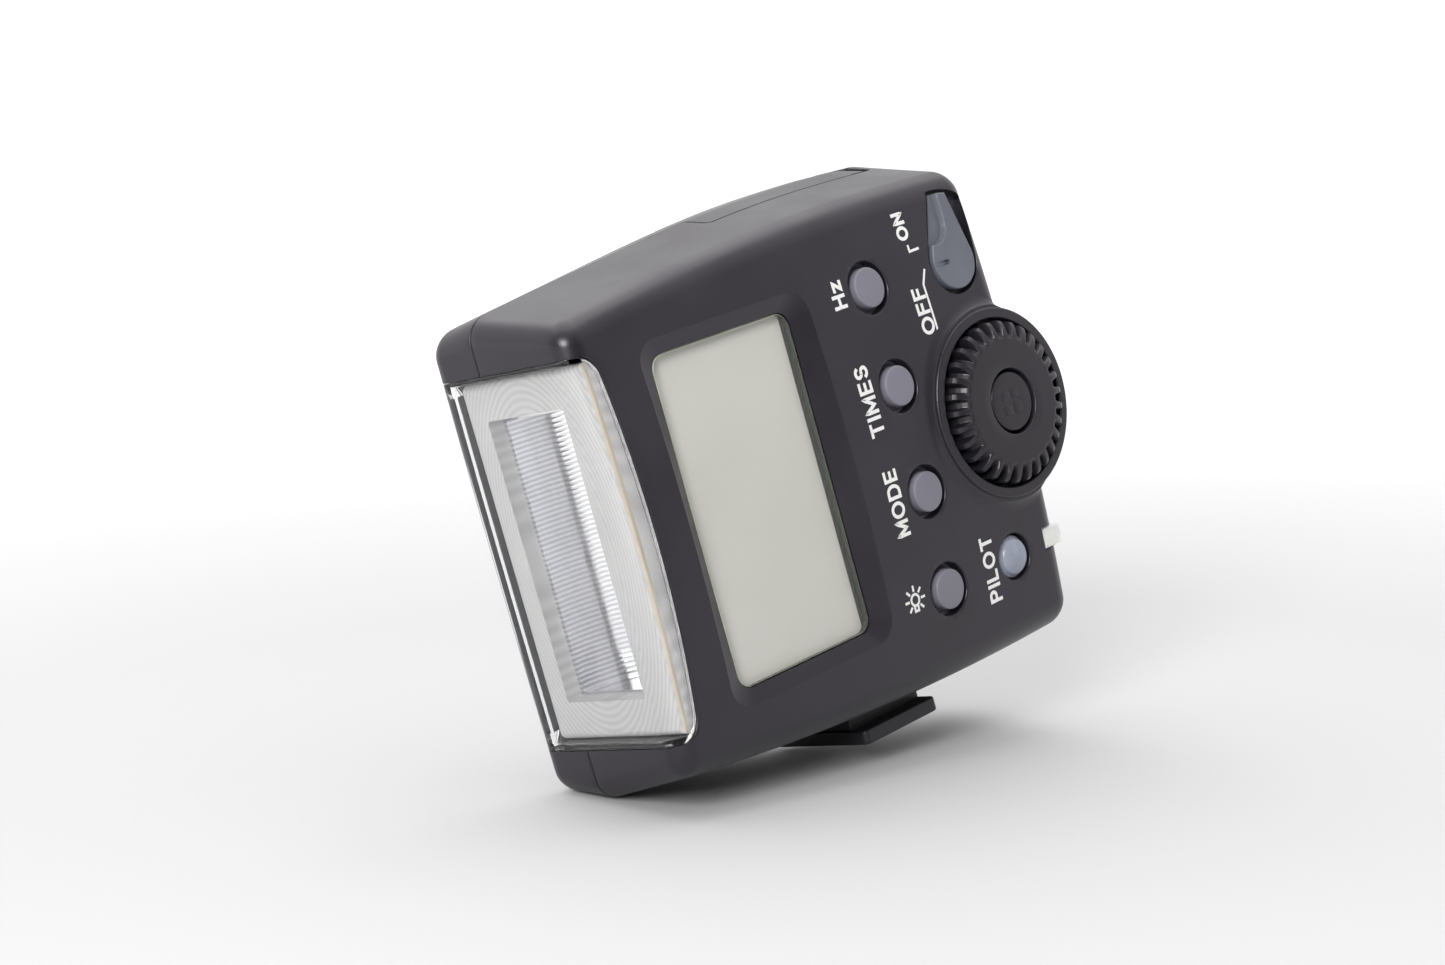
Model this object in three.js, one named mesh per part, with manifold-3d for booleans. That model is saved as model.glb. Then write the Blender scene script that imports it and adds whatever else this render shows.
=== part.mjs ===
// A slim speedlight flash: two shells round two small cells, a wrapped clear lens on one end,
// a screen, four round buttons, a control dial, a power lever and a hot-shoe foot.
//
// The group's own origin is the centre of the foot's sole: +Z is up, the lens fires towards -Y,
// and +X is the side with the screen and the controls. Inside the group the pieces are drawn in
// the body's frame, whose origin is on the control panel, on the dial's axis. Millimetres.
import * as THREE from 'three';
import { mergeVertices } from 'three/addons/utils/BufferGeometryUtils.js';
import Module from 'manifold-3d';

const wasm = await Module();
wasm.setup();

// ---- Driving dimensions ----
const LENS_END = -72.8; // from the dial's axis to the flat of the lens end
const DIAL_END = 6.2; // from the dial's axis to the other end
const DEPTH = 29.6; // from the control panel to the rear face
const SEAM = -19.3; // where the front shell meets the rear one
const HALF_WIDTH = 33.5; // half the panel's width where it is widest
const WIDEST_AT = -12;
const LENS_END_NARROWING = 4.2; // how much narrower each side is at the lens end
const SIDE_DRAFT = 0.155; // each side widens from the panel to the seam
const REAR_DRAFT = 0.12; // and narrows again behind it, most of all at the lens end
const PANEL_CROWN_RADIUS = 284;
const REAR_CROWN_RADIUS = 1500;
const EDGE_RADIUS = 3.2;
const WALL = 1.8;
const GAP = 0.3;
const SIDES = 28; // facets on a round piece

const FOOT = { x: -16.8, y: -27.7, sole: -38.4, width: 18.6, length: 15, plate: 2, neck: 12.4 };
const SHOE_BED = -34.4; // the flat under the body that the foot stands on

const LENS = { halfWidth: 25.2, wrap: 5, wall: 2, corner: 3.2 };
const SCREEN = { y: -47.1, length: 25.2, width: 44.4, corner: 2.2, depth: 1.55, thickness: 1.2 };
const RECESS = { fromY: -62.1, toY: -30.9, halfWidth: 24.5, corner: 3 };

const BUTTON = { y: -18.9, z: [21.55, 7.55, -7.55, -21.55], hole: 3.7, cap: 2.75, proud: 0.4, travel: 0.6 };
const BUTTON_NAMES = ['rate_button', 'count_button', 'mode_button', 'light_button'];
const PILOT = { y: -4.3, z: -21.4, hole: 3.3 };
const BUTTON_STEM = -5; // where a button's stem ends, under the panel
const DIAL = { bore: 12.05, radius: 11.6, top: 2.57, floor: -2.6, teeth: 30, boss: 13.5, bossTop: 0.75 };
const SELECT = { hole: 4.66, cap: 4.35, top: 2.3, bottom: -0.4, stem: 0.8, travel: 0.6 };
// The lever's pointer leans from +Z towards +Y by `lean` degrees, and swings further the same way.
const LEVER = {
  y: -1, z: 21.3, disc: 4.15, tip: 9.65, tipSpread: 8, lean: 5.8, swing: 24, floor: -1.8, top: 0.25,
};

const CELL = { radius: 5.15, length: 44.5, x: -21.7, y: [-23.6, -12.4], bottom: -12.6 };
const DOOR = { fromY: -31.4, toY: 0.9, fromX: -26.6, toX: -14.7, knuckle: 2.1 };
const DOOR_PLATE = { x: [-25.8, -17.6], y: [-28, -8], z: [32.2, 32.5] };
const PIN = { y: -1.9, z: 34.1, radius: 0.7, from: -27.4, to: -12.6 };

// ---- Solids ----
function solid(geometry) {
  const bare = geometry.index ? geometry.clone() : geometry;
  bare.deleteAttribute('normal');
  bare.deleteAttribute('uv');
  const merged = mergeVertices(bare, 1e-4);
  const mesh = new wasm.Mesh({
    numProp: 3,
    vertProperties: new Float32Array(merged.attributes.position.array),
    triVerts: new Uint32Array(merged.index.array),
  });
  return new wasm.Manifold(mesh);
}

function geometryOf(piece) {
  const mesh = piece.getMesh();
  const geometry = new THREE.BufferGeometry();
  geometry.setAttribute('position', new THREE.BufferAttribute(new Float32Array(mesh.vertProperties), 3));
  geometry.setIndex(new THREE.BufferAttribute(new Uint32Array(mesh.triVerts), 1));
  return geometry;
}

const join = (...pieces) => pieces.reduce((sum, piece) => sum.add(piece));
const cut = (body, ...tools) => tools.reduce((rest, tool) => rest.subtract(tool), body);

function block([x0, x1], [y0, y1], [z0, z1]) {
  const geometry = new THREE.BoxGeometry(x1 - x0, y1 - y0, z1 - z0);
  geometry.translate((x0 + x1) / 2, (y0 + y1) / 2, (z0 + z1) / 2);
  return solid(geometry);
}

// A solid of revolution about an axis parallel to X, from [radius, x] points that start and end
// on the axis.
function turned(profile, y, z, sides = SIDES) {
  const points = profile.map(([radius, x]) => new THREE.Vector2(radius, x));
  const geometry = new THREE.LatheGeometry(points, sides);
  geometry.rotateZ(-Math.PI / 2);
  geometry.translate(0, y, z);
  return solid(geometry);
}

function rod(radius, [x0, x1], y, z, sides = SIDES) {
  return turned([[0, x0], [radius, x0], [radius, x1], [0, x1]], y, z, sides);
}

// The same shapes stood upright, along Z.
function upright(profile, x, y, sides = SIDES) {
  const points = profile.map(([radius, z]) => new THREE.Vector2(radius, z));
  const geometry = new THREE.LatheGeometry(points, sides);
  geometry.rotateX(Math.PI / 2);
  geometry.translate(x, y, 0);
  return solid(geometry);
}

function post(radius, [z0, z1], x, y, sides = SIDES) {
  return upright([[0, z0], [radius, z0], [radius, z1], [0, z1]], x, y, sides);
}

// A flat outline in Y and Z, extruded along X.
function slab(shape, [x0, x1], curveSegments = 5) {
  const geometry = new THREE.ExtrudeGeometry(shape, { depth: x1 - x0, bevelEnabled: false, curveSegments });
  const standing = new THREE.Matrix4().makeBasis(
    new THREE.Vector3(0, 1, 0),
    new THREE.Vector3(0, 0, 1),
    new THREE.Vector3(1, 0, 0),
  );
  geometry.applyMatrix4(standing);
  geometry.translate(x0, 0, 0);
  return solid(geometry);
}

function roundedRectangle([y0, y1], [z0, z1], radius) {
  const shape = new THREE.Shape();
  shape.moveTo(y0 + radius, z0);
  shape.absarc(y1 - radius, z0 + radius, radius, -Math.PI / 2, 0, false);
  shape.absarc(y1 - radius, z1 - radius, radius, 0, Math.PI / 2, false);
  shape.absarc(y0 + radius, z1 - radius, radius, Math.PI / 2, Math.PI, false);
  shape.absarc(y0 + radius, z0 + radius, radius, Math.PI, 1.5 * Math.PI, false);
  return shape;
}

// ---- The body's outer form ----
function halfWidthAt(x, y) {
  const lensDistance = (y - WIDEST_AT) / (LENS_END - WIDEST_AT);
  const atPanel = HALF_WIDTH - LENS_END_NARROWING * lensDistance ** 2;
  const forward = Math.max(x, SEAM);
  const behind = Math.max(SEAM - x, 0);
  const towardsLens = THREE.MathUtils.clamp(-y / 60, 0, 1);
  return atPanel - SIDE_DRAFT * forward - REAR_DRAFT * towardsLens * behind;
}

const crownDrop = (z) => z ** 2 / (2 * PANEL_CROWN_RADIUS);
const crownTilt = (z) => Math.asin(z / PANEL_CROWN_RADIUS);

// Coordinates across a side: close together round the edges, even between them.
function stations(low, high, radius, between) {
  const edge = [1, 0.414].map((slope) => radius * (1 - slope));
  const nearLow = edge.map((d) => low + d);
  const nearHigh = edge.reverse().map((d) => high - d);
  return [...nearLow, low + radius, ...between, high - radius, ...nearHigh];
}

function evenly(low, high, count) {
  return Array.from({ length: count }, (_, i) => low + ((high - low) * (i + 1)) / (count + 1));
}

// The rounded, crowned and tapered body, drawn in by `inset` on every side.
function bodyForm(inset, alongY = 5, alongZ = 7) {
  const radius = EDGE_RADIUS - inset / 2;
  const low = new THREE.Vector3(-DEPTH + inset, LENS_END + inset, -HALF_WIDTH + inset);
  const high = new THREE.Vector3(-inset, DIAL_END - inset, HALF_WIDTH - inset);
  const lines = {
    x: stations(low.x, high.x, radius, [SEAM]),
    y: stations(low.y, high.y, radius, evenly(low.y + radius, high.y - radius, alongY)),
    z: stations(low.z, high.z, radius, evenly(low.z + radius, high.z - radius, alongZ)),
  };
  const count = (axis) => lines[axis].length - 1;
  const geometry = new THREE.BoxGeometry(1, 1, 1, count('x'), count('y'), count('z'));
  const position = geometry.attributes.position;
  const point = new THREE.Vector3();
  const core = new THREE.Vector3();
  const coreLow = low.clone().addScalar(radius);
  const coreHigh = high.clone().subScalar(radius);
  for (let i = 0; i < position.count; i += 1) {
    point.fromBufferAttribute(position, i);
    for (const axis of ['x', 'y', 'z']) {
      point[axis] = lines[axis][Math.round((point[axis] + 0.5) * count(axis))];
    }
    core.copy(point).clamp(coreLow, coreHigh);
    point.sub(core).setLength(radius).add(core);
    point.z *= halfWidthAt(point.x, point.y) / HALF_WIDTH;
    const towardsPanel = THREE.MathUtils.clamp(1 - point.x / SEAM, 0, 1);
    const towardsRear = THREE.MathUtils.clamp((SEAM - point.x) / (DEPTH + SEAM), 0, 1);
    point.x += (towardsRear * point.z ** 2) / (2 * REAR_CROWN_RADIUS) - towardsPanel * crownDrop(point.z);
    position.setXYZ(i, point.x, point.y, point.z);
  }
  return solid(geometry);
}

const outer = bodyForm(0);
const FAR = 60; // past the body on any side

// ---- Lens ----
// The lens fills the body's end and wraps onto the panel and the rear face, with bowed edges.
function lensOutline(grow) {
  const half = LENS.halfWidth + grow;
  const edge = LENS_END + LENS.wrap + grow;
  const straight = edge - 0.9;
  const shape = new THREE.Shape();
  shape.moveTo(-FAR * 2, -half);
  shape.lineTo(straight - LENS.corner, -half);
  shape.absarc(straight - LENS.corner, -half + LENS.corner, LENS.corner, -Math.PI / 2, 0, false);
  shape.quadraticCurveTo(edge + 0.9, 0, straight, half - LENS.corner);
  shape.absarc(straight - LENS.corner, half - LENS.corner, LENS.corner, 0, Math.PI / 2, false);
  shape.lineTo(-FAR * 2, half);
  return shape;
}

function lensCover() {
  const hollow = bodyForm(LENS.wall, 3, 3);
  const inside = block([-FAR, FAR], [-FAR * 2, FAR], [-LENS.halfWidth + 1.5, LENS.halfWidth - 1.5]);
  return cut(outer.intersect(slab(lensOutline(0), [-FAR, FAR])), hollow.intersect(inside));
}

// The white light box behind the lens, open at the front and back.
function lensFrame() {
  const z = LENS.halfWidth - 2.1;
  const y = [LENS_END + 3.4, LENS_END + 8];
  return cut(
    block([-DEPTH + 3.2, -3.4], y, [-z, z]),
    block([-DEPTH + 5, -5.2], [y[0] - 1, y[1] + 1], [-z + 3, z - 3]),
  );
}

// The polished trough that the flash tube lies in, with its two end plates.
function reflector() {
  const mouth = LENS_END + 5;
  const back = LENS_END + 15;
  const half = 19.2;
  const middle = -DEPTH / 2;
  const trough = (halfMouth, depth) => {
    const shape = new THREE.Shape();
    shape.moveTo(middle - halfMouth, mouth);
    shape.quadraticCurveTo(middle - halfMouth * 0.85, mouth + depth, middle, mouth + depth);
    shape.quadraticCurveTo(middle + halfMouth * 0.85, mouth + depth, middle + halfMouth, mouth);
    const settings = { depth: 2 * half, bevelEnabled: false, curveSegments: 7 };
    const geometry = new THREE.ExtrudeGeometry(shape, settings).translate(0, 0, -half);
    return solid(geometry);
  };
  const between = [-half + 0.7, half - 0.7];
  const hollow = trough(7.2, back - mouth - 0.7).intersect(block([-FAR, 0], [-FAR * 2, 0], between));
  return cut(
    trough(8, back - mouth),
    hollow,
    block([middle - 7.1, middle + 7.1], [mouth - 1, mouth + 0.1], between),
    post(1.9, [-FAR, FAR], middle, LENS_END + 11.2, 12),
  );
}

const TUBE = { x: -DEPTH / 2, y: LENS_END + 11.2, glass: 1.5, half: 21.5 };

// ---- Shells ----
const cavity = bodyForm(WALL, 3, 5).intersect(join(
  block([-FAR, FAR], [-FAR * 2, FAR], [SHOE_BED + 2, FAR]),
  block([-FAR, FAR], [-FAR * 2, -48], [-FAR, FAR]),
));

const shoeBed = block([-FAR, -5], [FOOT.y - 12, FOOT.y + 12], [-FAR, SHOE_BED]);

const SCREWS = [[-61, 27.2], [-61, -27.2], [2, 28.4], [2, -28.4]]; // each [y, z]
const SHOE_SCREWS = [-13, -21.4].flatMap((x) => [[x, FOOT.y - 4.6], [x, FOOT.y + 4.6]]); // each [x, y]

// A round disc with a pointer, or with the sector that the pointer sweeps, about the lever's own
// axis. Angles from +Z towards +Y, in degrees.
function leverOutline(disc, tip, fromAngle, toAngle) {
  const at = (radius, degrees) => {
    const angle = THREE.MathUtils.degToRad(degrees);
    return new THREE.Vector2(radius * Math.sin(angle), radius * Math.cos(angle));
  };
  const points = [];
  for (let angle = toAngle + 62; angle <= fromAngle + 298; angle += 15) {
    points.push(at(disc, angle));
  }
  points.push(at(disc, fromAngle - 62));
  const steps = Math.max(1, Math.round((toAngle - fromAngle) / 12));
  for (let i = 0; i <= steps; i += 1) {
    points.push(at(tip, fromAngle + ((toAngle - fromAngle) * i) / steps));
  }
  return new THREE.Shape(points);
}

function openings() {
  const buttonHoles = BUTTON.z.map((z) => tilted(rod(BUTTON.hole, [-6, 5], BUTTON.y, 0), z));
  const screenHalf = { y: SCREEN.length / 2 + 0.15, z: SCREEN.width / 2 + 0.15 };
  const pane = roundedRectangle(
    [SCREEN.y - screenHalf.y, SCREEN.y + screenHalf.y],
    [-screenHalf.z, screenHalf.z],
    SCREEN.corner,
  );
  const window = block(
    [-FAR, 0],
    [SCREEN.y - screenHalf.y + 1.2, SCREEN.y + screenHalf.y - 1.2],
    [-screenHalf.z + 1.2, screenHalf.z - 1.2],
  );
  const recessAcross = [-RECESS.halfWidth, RECESS.halfWidth];
  const recess = roundedRectangle([RECESS.fromY, RECESS.toY], recessAcross, RECESS.corner);
  const clear = LEVER.tipSpread + 4;
  const sweep = [LEVER.lean - clear, LEVER.lean + LEVER.swing + clear];
  const leverSweep = leverOutline(LEVER.disc + 0.65, LEVER.tip + 0.6, ...sweep);
  return [
    ...buttonHoles,
    slab(recess, [-SCREEN.depth, 5], 3),
    slab(pane, [-SCREEN.depth - SCREEN.thickness - GAP, 5], 3),
    window,
    rod(DIAL.bore, [DIAL.floor, 5], 0, 0, 40),
    rod(2.3, [-FAR, 5], 0, 0, 16),
    tilted(rod(PILOT.hole, [-6, 5], PILOT.y, 0), PILOT.z),
    onPanel(join(slab(leverSweep, [LEVER.floor, 5]), rod(1.5, [-8, 5], 0, 0, 12)), LEVER.y, LEVER.z),
  ];
}

// Moves a piece drawn at mid-width out to a height on the crowned panel, square to its surface.
function tilted(piece, z) {
  const matrix = new THREE.Matrix4()
    .makeTranslation(-crownDrop(z), 0, z)
    .multiply(new THREE.Matrix4().makeRotationY(-crownTilt(z)));
  return solid(geometryOf(piece).applyMatrix4(matrix));
}

// Moves a piece drawn about the origin to a place on the crowned panel.
function onPanel(piece, y, z) {
  return tilted(solid(geometryOf(piece).translate(0, y, 0)), z);
}

// The doorway over the cells, and the shallower notch for the hinge's knuckle at its end.
function doorZone(grow) {
  const across = [DOOR.fromX - grow, DOOR.toX + grow];
  const notchFrom = PIN.y - 2;
  return join(
    block(across, [DOOR.fromY - grow, notchFrom], [20, FAR]),
    block(across, [notchFrom - 0.1, DOOR.toY + grow], [PIN.z - DOOR.knuckle - grow, FAR]),
  );
}

const guideZone = (grow) => block([-4.4 - grow, 2], [2.6 - grow, 9], [-22.9 - grow, -19 + grow]);

function frontShell() {
  const bossProfile = [
    [0, -9.5], [8.5, -9.5], [DIAL.boss - 0.4, -5], [DIAL.boss, -2],
    [DIAL.boss, DIAL.bossTop], [0, DIAL.bossTop],
  ];
  const boss = turned(bossProfile, 0, 0, 40);
  const front = block([SEAM, FAR], [-FAR * 2, FAR], [-FAR, FAR]);
  const well = rod(DIAL.boss - 0.6, [DIAL.floor - 1.4, -1], 0, 0, 40);
  const leverFloor = onPanel(block([LEVER.floor - 1.4, -0.8], [-7, DIAL_END], [-7, 12]), LEVER.y, LEVER.z);
  const screenLedge = block([-4.9, -1], [RECESS.fromY - 1, RECESS.toY + 1], [-26, 26]);
  const posts = SCREWS.map(([y, z]) => rod(2.3, [SEAM, -2.6], y, z, 12));
  const hull = cut(join(outer.intersect(front), boss), cavity);
  const filled = join(hull, well, leverFloor.intersect(outer), screenLedge.intersect(outer), ...posts);
  return cut(
    filled,
    ...openings(),
    slab(lensOutline(GAP), [-FAR, FAR]),
    shoeBed,
    doorZone(GAP),
    guideZone(GAP),
    pinHole([SEAM - 1, PIN.to + 0.2]),
    ...SCREWS.map(([y, z]) => rod(0.95, [-FAR, -13], y, z, 12)),
    ...SHOE_SCREWS.map(([x, y]) => post(1.25, [-FAR, 0], x, y, 12)),
  );
}

function rearShell() {
  const rear = block([-FAR, SEAM - GAP], [-FAR * 2, FAR], [-FAR, FAR]);
  const posts = SCREWS.map(([y, z]) => rod(2.3, [-DEPTH + 1.2, SEAM - GAP], y, z, 12));
  return cut(
    join(cut(outer.intersect(rear), cavity), ...posts.map((piece) => piece.intersect(outer))),
    slab(lensOutline(GAP), [-FAR, FAR]),
    shoeBed,
    doorZone(GAP),
    pinHole([PIN.from - 0.1, SEAM]),
    ...SCREWS.map(([y, z]) => rod(1.25, [-FAR, 0], y, z, 12)),
    ...SCREWS.map(([y, z]) => rod(2.15, [-FAR, -DEPTH + 3], y, z, 16)),
    ...SHOE_SCREWS.map(([x, y]) => post(1.25, [-FAR, 0], x, y, 12)),
  );
}

const pinHole = (reach) => rod(PIN.radius + 0.06, reach, PIN.y, PIN.z, 12);

// ---- Battery door, hinged on a pin at the dial end ----
function batteryDoor() {
  const leaf = cut(outer, bodyForm(1.5, 3, 5)).intersect(doorZone(0));
  const knuckle = rod(DOOR.knuckle, [DOOR.fromX + 0.9, DOOR.toX - 0.3], PIN.y, PIN.z, 24).intersect(outer);
  const pastPin = block([-FAR, 0], [PIN.y, FAR], [20, FAR]);
  const catchTab = block([-22, -17], [DOOR.fromY + 0.2, DOOR.fromY + 1.4], [32.2, 34.7]);
  const plateBoss = block([-25, -18.4], [-27.2, -8.8], [DOOR_PLATE.z[1] + 0.1, 35]);
  return cut(
    join(cut(leaf, pastPin), knuckle, catchTab, plateBoss),
    pinHole([-FAR, 0]),
  );
}

function batteryTray() {
  const outerBox = block([-27.2, -15.6], [-30.2, -5.8], [CELL.bottom - 3.4, 31.4]);
  const wells = CELL.y.map((y) => post(CELL.radius + 0.25, [CELL.bottom - 2.4, FAR], CELL.x, y, 20));
  return cut(outerBox, ...wells);
}

function cell(y) {
  const top = CELL.bottom + CELL.length;
  const profile = [
    [0, CELL.bottom], [CELL.radius - 0.5, CELL.bottom], [CELL.radius, CELL.bottom + 0.4],
    [CELL.radius, top - 1.3], [CELL.radius - 0.5, top - 0.9], [1.9, top - 0.9], [1.9, top], [0, top],
  ];
  return upright(profile, CELL.x, y, 20);
}

// A coil spring that presses on the bottom of a cell.
function contactSpring(y) {
  const turns = 2.5;
  const points = Array.from({ length: 25 }, (_, i) => {
    const angle = (i / 24) * turns * 2 * Math.PI;
    const radius = 3.2 - (i / 24) * 1.2;
    return new THREE.Vector3(
      CELL.x + radius * Math.cos(angle), y + radius * Math.sin(angle), CELL.bottom - 2 + (i / 24) * 1.4,
    );
  });
  const path = new THREE.CatmullRomCurve3(points);
  const wire = new THREE.Shape();
  wire.absarc(0, 0, 0.25, 0, 2 * Math.PI, false);
  return solid(new THREE.ExtrudeGeometry(wire, { steps: 30, extrudePath: path, curveSegments: 2 }));
}

// ---- Controls ----
function buttonCap(radius, hole, proud) {
  return turned([
    [0, BUTTON_STEM], [1.5, BUTTON_STEM], [1.5, -2.9],
    [hole + 0.7, -2.9], [hole + 0.7, -2.1], [hole - 0.35, -2.1], [hole - 0.35, -0.9],
    [radius, proud - 0.12], [radius - 0.25, proud], [0, proud],
  ], 0, 0, 24);
}

function pilotCap() {
  const hole = PILOT.hole;
  return turned([
    [0, BUTTON_STEM], [1.3, BUTTON_STEM], [1.3, -2.9],
    [hole + 0.7, -2.9], [hole + 0.7, -2.1], [hole - 0.35, -2.1], [hole - 0.35, -0.6],
    [2.6, 0.1], [1.6, 0.6], [0, 0.8],
  ], 0, 0, 24);
}

function controlDial() {
  const points = [];
  for (let i = 0; i < DIAL.teeth * 2; i += 1) {
    const angle = (i / (DIAL.teeth * 2)) * 2 * Math.PI;
    const radius = i % 2 === 0 ? DIAL.radius : DIAL.radius - 0.8;
    points.push(new THREE.Vector2(radius * Math.cos(angle), radius * Math.sin(angle)));
  }
  const bevelled = [[0, DIAL.floor], [12, DIAL.floor], [12, 0.9], [8.9, DIAL.top], [0, DIAL.top]];
  const outline = new THREE.Shape(points);
  const toothed = slab(outline, [DIAL.floor + GAP, DIAL.top]).intersect(turned(bevelled, 0, 0, 40));
  const shaft = rod(2, [-8.2, 0], 0, 0, 16);
  return cut(
    join(toothed, shaft),
    rod(SELECT.hole, [SELECT.bottom - SELECT.travel - 0.4, 5], 0, 0),
    rod(SELECT.stem + 0.3, [-FAR, 0], 0, 0, 16),
  );
}

function selectButton() {
  const { cap, top, bottom, stem } = SELECT;
  return turned([
    [0, -7.4], [stem, -7.4], [stem, bottom], [cap, bottom], [cap, top - 0.3], [cap - 0.3, top], [0, top],
  ], 0, 0);
}

function powerLever() {
  const angles = [LEVER.lean - LEVER.tipSpread, LEVER.lean + LEVER.tipSpread];
  const pointer = slab(leverOutline(LEVER.disc, LEVER.tip, ...angles), [LEVER.floor + GAP, LEVER.top]);
  const spindle = rod(1.35, [-6.6, -1], 0, 0, 16);
  // The thumb's scoop, beside the pointer's ridge.
  const scoop = solid(geometryOf(block([LEVER.top - 1, 5], [-FAR, -0.15], [2.9, FAR]))
    .rotateX(-THREE.MathUtils.degToRad(LEVER.lean)));
  return onPanel(cut(join(pointer, spindle), scoop), LEVER.y, LEVER.z);
}

// ---- Foot ----
function shoeFoot() {
  const { x, y, sole, width, length, plate, neck } = FOOT;
  const halfLength = length / 2;
  const shape = roundedRectangle([x - width / 2, x + width / 2], [y - halfLength, y + halfLength], 0.8);
  const settings = { depth: plate, bevelEnabled: false, curveSegments: 3 };
  const plateGeometry = new THREE.ExtrudeGeometry(shape, settings).translate(0, 0, sole);
  const stemAlong = [y - halfLength + 0.6, y + halfLength - 0.2];
  const stem = block([x - neck / 2, x + neck / 2], stemAlong, [sole + 1, SHOE_BED - GAP]);
  return cut(
    join(solid(plateGeometry), stem),
    ...SHOE_SCREWS.map(([sx, sy]) => post(1.15, [sole + 1.3, FAR], sx, sy, 12)),
    ...contactSpots().map(([cx, cy, radius]) => post(radius + 0.15, [-FAR, sole + 0.9], cx, cy, 16)),
  );
}

// The centre contact and four small ones in front of it: [x, y, radius].
function contactSpots() {
  const small = [-3.6, -1.2, 1.2, 3.6].map((dx) => [FOOT.x + dx, FOOT.y + 4.8, 0.55]);
  return [[FOOT.x, FOOT.y, 1.1], ...small];
}

// The screws that close the case lie along X, heads at the rear face.
function caseScrew([y, z]) {
  const under = -DEPTH + 2.4;
  return turned([
    [0, under - 0.9], [1.85, under - 0.9], [1.85, under], [0.85, under + 0.4], [0.85, -14], [0, -14],
  ], y, z, 12);
}

// The screws that hold the foot stand upright, heads inside the case.
function shoeScrew([x, y]) {
  const tip = FOOT.sole + 1.6;
  const under = SHOE_BED + 2.3;
  return upright([
    [0, tip], [0.95, tip], [0.95, under], [1.8, under], [1.8, under + 1.1], [0, under + 1.1],
  ], x, y, 12);
}

// ---- Assembly ----
const flash = new THREE.Group();
flash.position.set(-FOOT.x, -FOOT.y, -FOOT.sole);

function finish(color, roughness, metalness = 0) {
  return new THREE.MeshStandardMaterial({ color, roughness, metalness });
}

const LOOK = {
  shell: finish(0x2c2b2f, 0.62),
  dial: finish(0x232226, 0.5),
  grey: finish(0x76767f, 0.55),
  lever: finish(0x5d6069, 0.5),
  clear: new THREE.MeshStandardMaterial(
    { color: 0xe6e8ea, roughness: 0.08, transparent: true, opacity: 0.35 },
  ),
  white: finish(0xe4e0d6, 0.5),
  milky: finish(0xc9ced6, 0.35),
  screen: finish(0xb9b6aa, 0.25),
  silver: finish(0xd7d9dc, 0.15, 0.9),
  steel: finish(0xa9abb0, 0.3, 0.9),
  brass: finish(0xc9a25a, 0.3, 0.9),
  board: finish(0x1f5b3a, 0.6),
  sleeve: finish(0x1b3d7a, 0.45),
  rubber: finish(0x2b2b2d, 0.85),
  cell: finish(0x8a8f98, 0.35, 0.6),
};

function add(name, piece, look) {
  const mesh = new THREE.Mesh(geometryOf(piece), LOOK[look]);
  mesh.name = name;
  flash.add(mesh);
}

add('front_shell', frontShell(), 'shell');
add('rear_shell', rearShell(), 'shell');
add('lens_cover', lensCover(), 'clear');
add('lens_frame', lensFrame(), 'white');
add('reflector', reflector(), 'silver');
add('flash_tube', post(TUBE.glass, [-TUBE.half, TUBE.half], TUBE.x, TUBE.y, 12), 'clear');
for (const [name, side] of [['tube_boot_upper', 1], ['tube_boot_lower', -1]]) {
  const reach = [side * (TUBE.half - 2), side * (TUBE.half + 2.3)].sort((a, b) => a - b);
  const bore = post(TUBE.glass + 0.1, [-TUBE.half - 0.3, TUBE.half + 0.3], TUBE.x, TUBE.y, 12);
  add(name, cut(post(2.8, reach, TUBE.x, TUBE.y, 12), bore), 'rubber');
}

const paneSides = [
  [SCREEN.y - SCREEN.length / 2, SCREEN.y + SCREEN.length / 2],
  [-SCREEN.width / 2, SCREEN.width / 2],
];
add('screen_window', slab(roundedRectangle(...paneSides, SCREEN.corner - 0.2),
  [-SCREEN.depth - SCREEN.thickness, -SCREEN.depth], 3), 'clear');
add('screen_panel', block([-6.6, -5.2], [SCREEN.y - 13.4, SCREEN.y + 13.4], [-23.6, 23.6]), 'screen');
add('screen_backlight', block([-8.2, -6.9], [SCREEN.y - 13.4, SCREEN.y + 13.4], [-23.6, 23.6]), 'white');

BUTTON_NAMES.forEach((name, i) => {
  add(name, onPanel(buttonCap(BUTTON.cap, BUTTON.hole, BUTTON.proud), BUTTON.y, BUTTON.z[i]), 'grey');
});
add('pilot_button', onPanel(pilotCap(), PILOT.y, PILOT.z), 'milky');
add('control_dial', controlDial(), 'dial');
add('select_button', selectButton(), 'dial');
add('power_lever', powerLever(), 'lever');

add('pilot_light_guide', block([-4.4, -0.9], [2.6, 7], [-22.9, -19]), 'milky');
add('battery_door', batteryDoor(), 'shell');
add('battery_door_pin', rod(PIN.radius, [PIN.from, PIN.to], PIN.y, PIN.z, 12), 'steel');
add('battery_tray', batteryTray(), 'rubber');
CELL.y.forEach((y, i) => {
  add(`battery_cell_${i + 1}`, cell(y), 'cell');
  add(`contact_spring_${i + 1}`, contactSpring(y), 'steel');
});
add('door_contact_plate', block(DOOR_PLATE.x, DOOR_PLATE.y, DOOR_PLATE.z), 'steel');

const SWITCH_BOARD = [-9.8, -8.8];
add('switch_board', cut(
  block(SWITCH_BOARD, [-59, 3], [-24, 24]),
  block([-FAR, 0], [-3.6, FAR], [-FAR, -23.2]),
), 'board');

// A switch under each stem, its top just past where the pressed stem reaches.
function tactSwitch(y, z) {
  const top = BUTTON_STEM - crownDrop(z) - BUTTON.travel - 0.15;
  return block([SWITCH_BOARD[1] + 0.2, top], [y - 2.4, y + 2.4], [z - 2.2, z + 2.2]);
}

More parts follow.
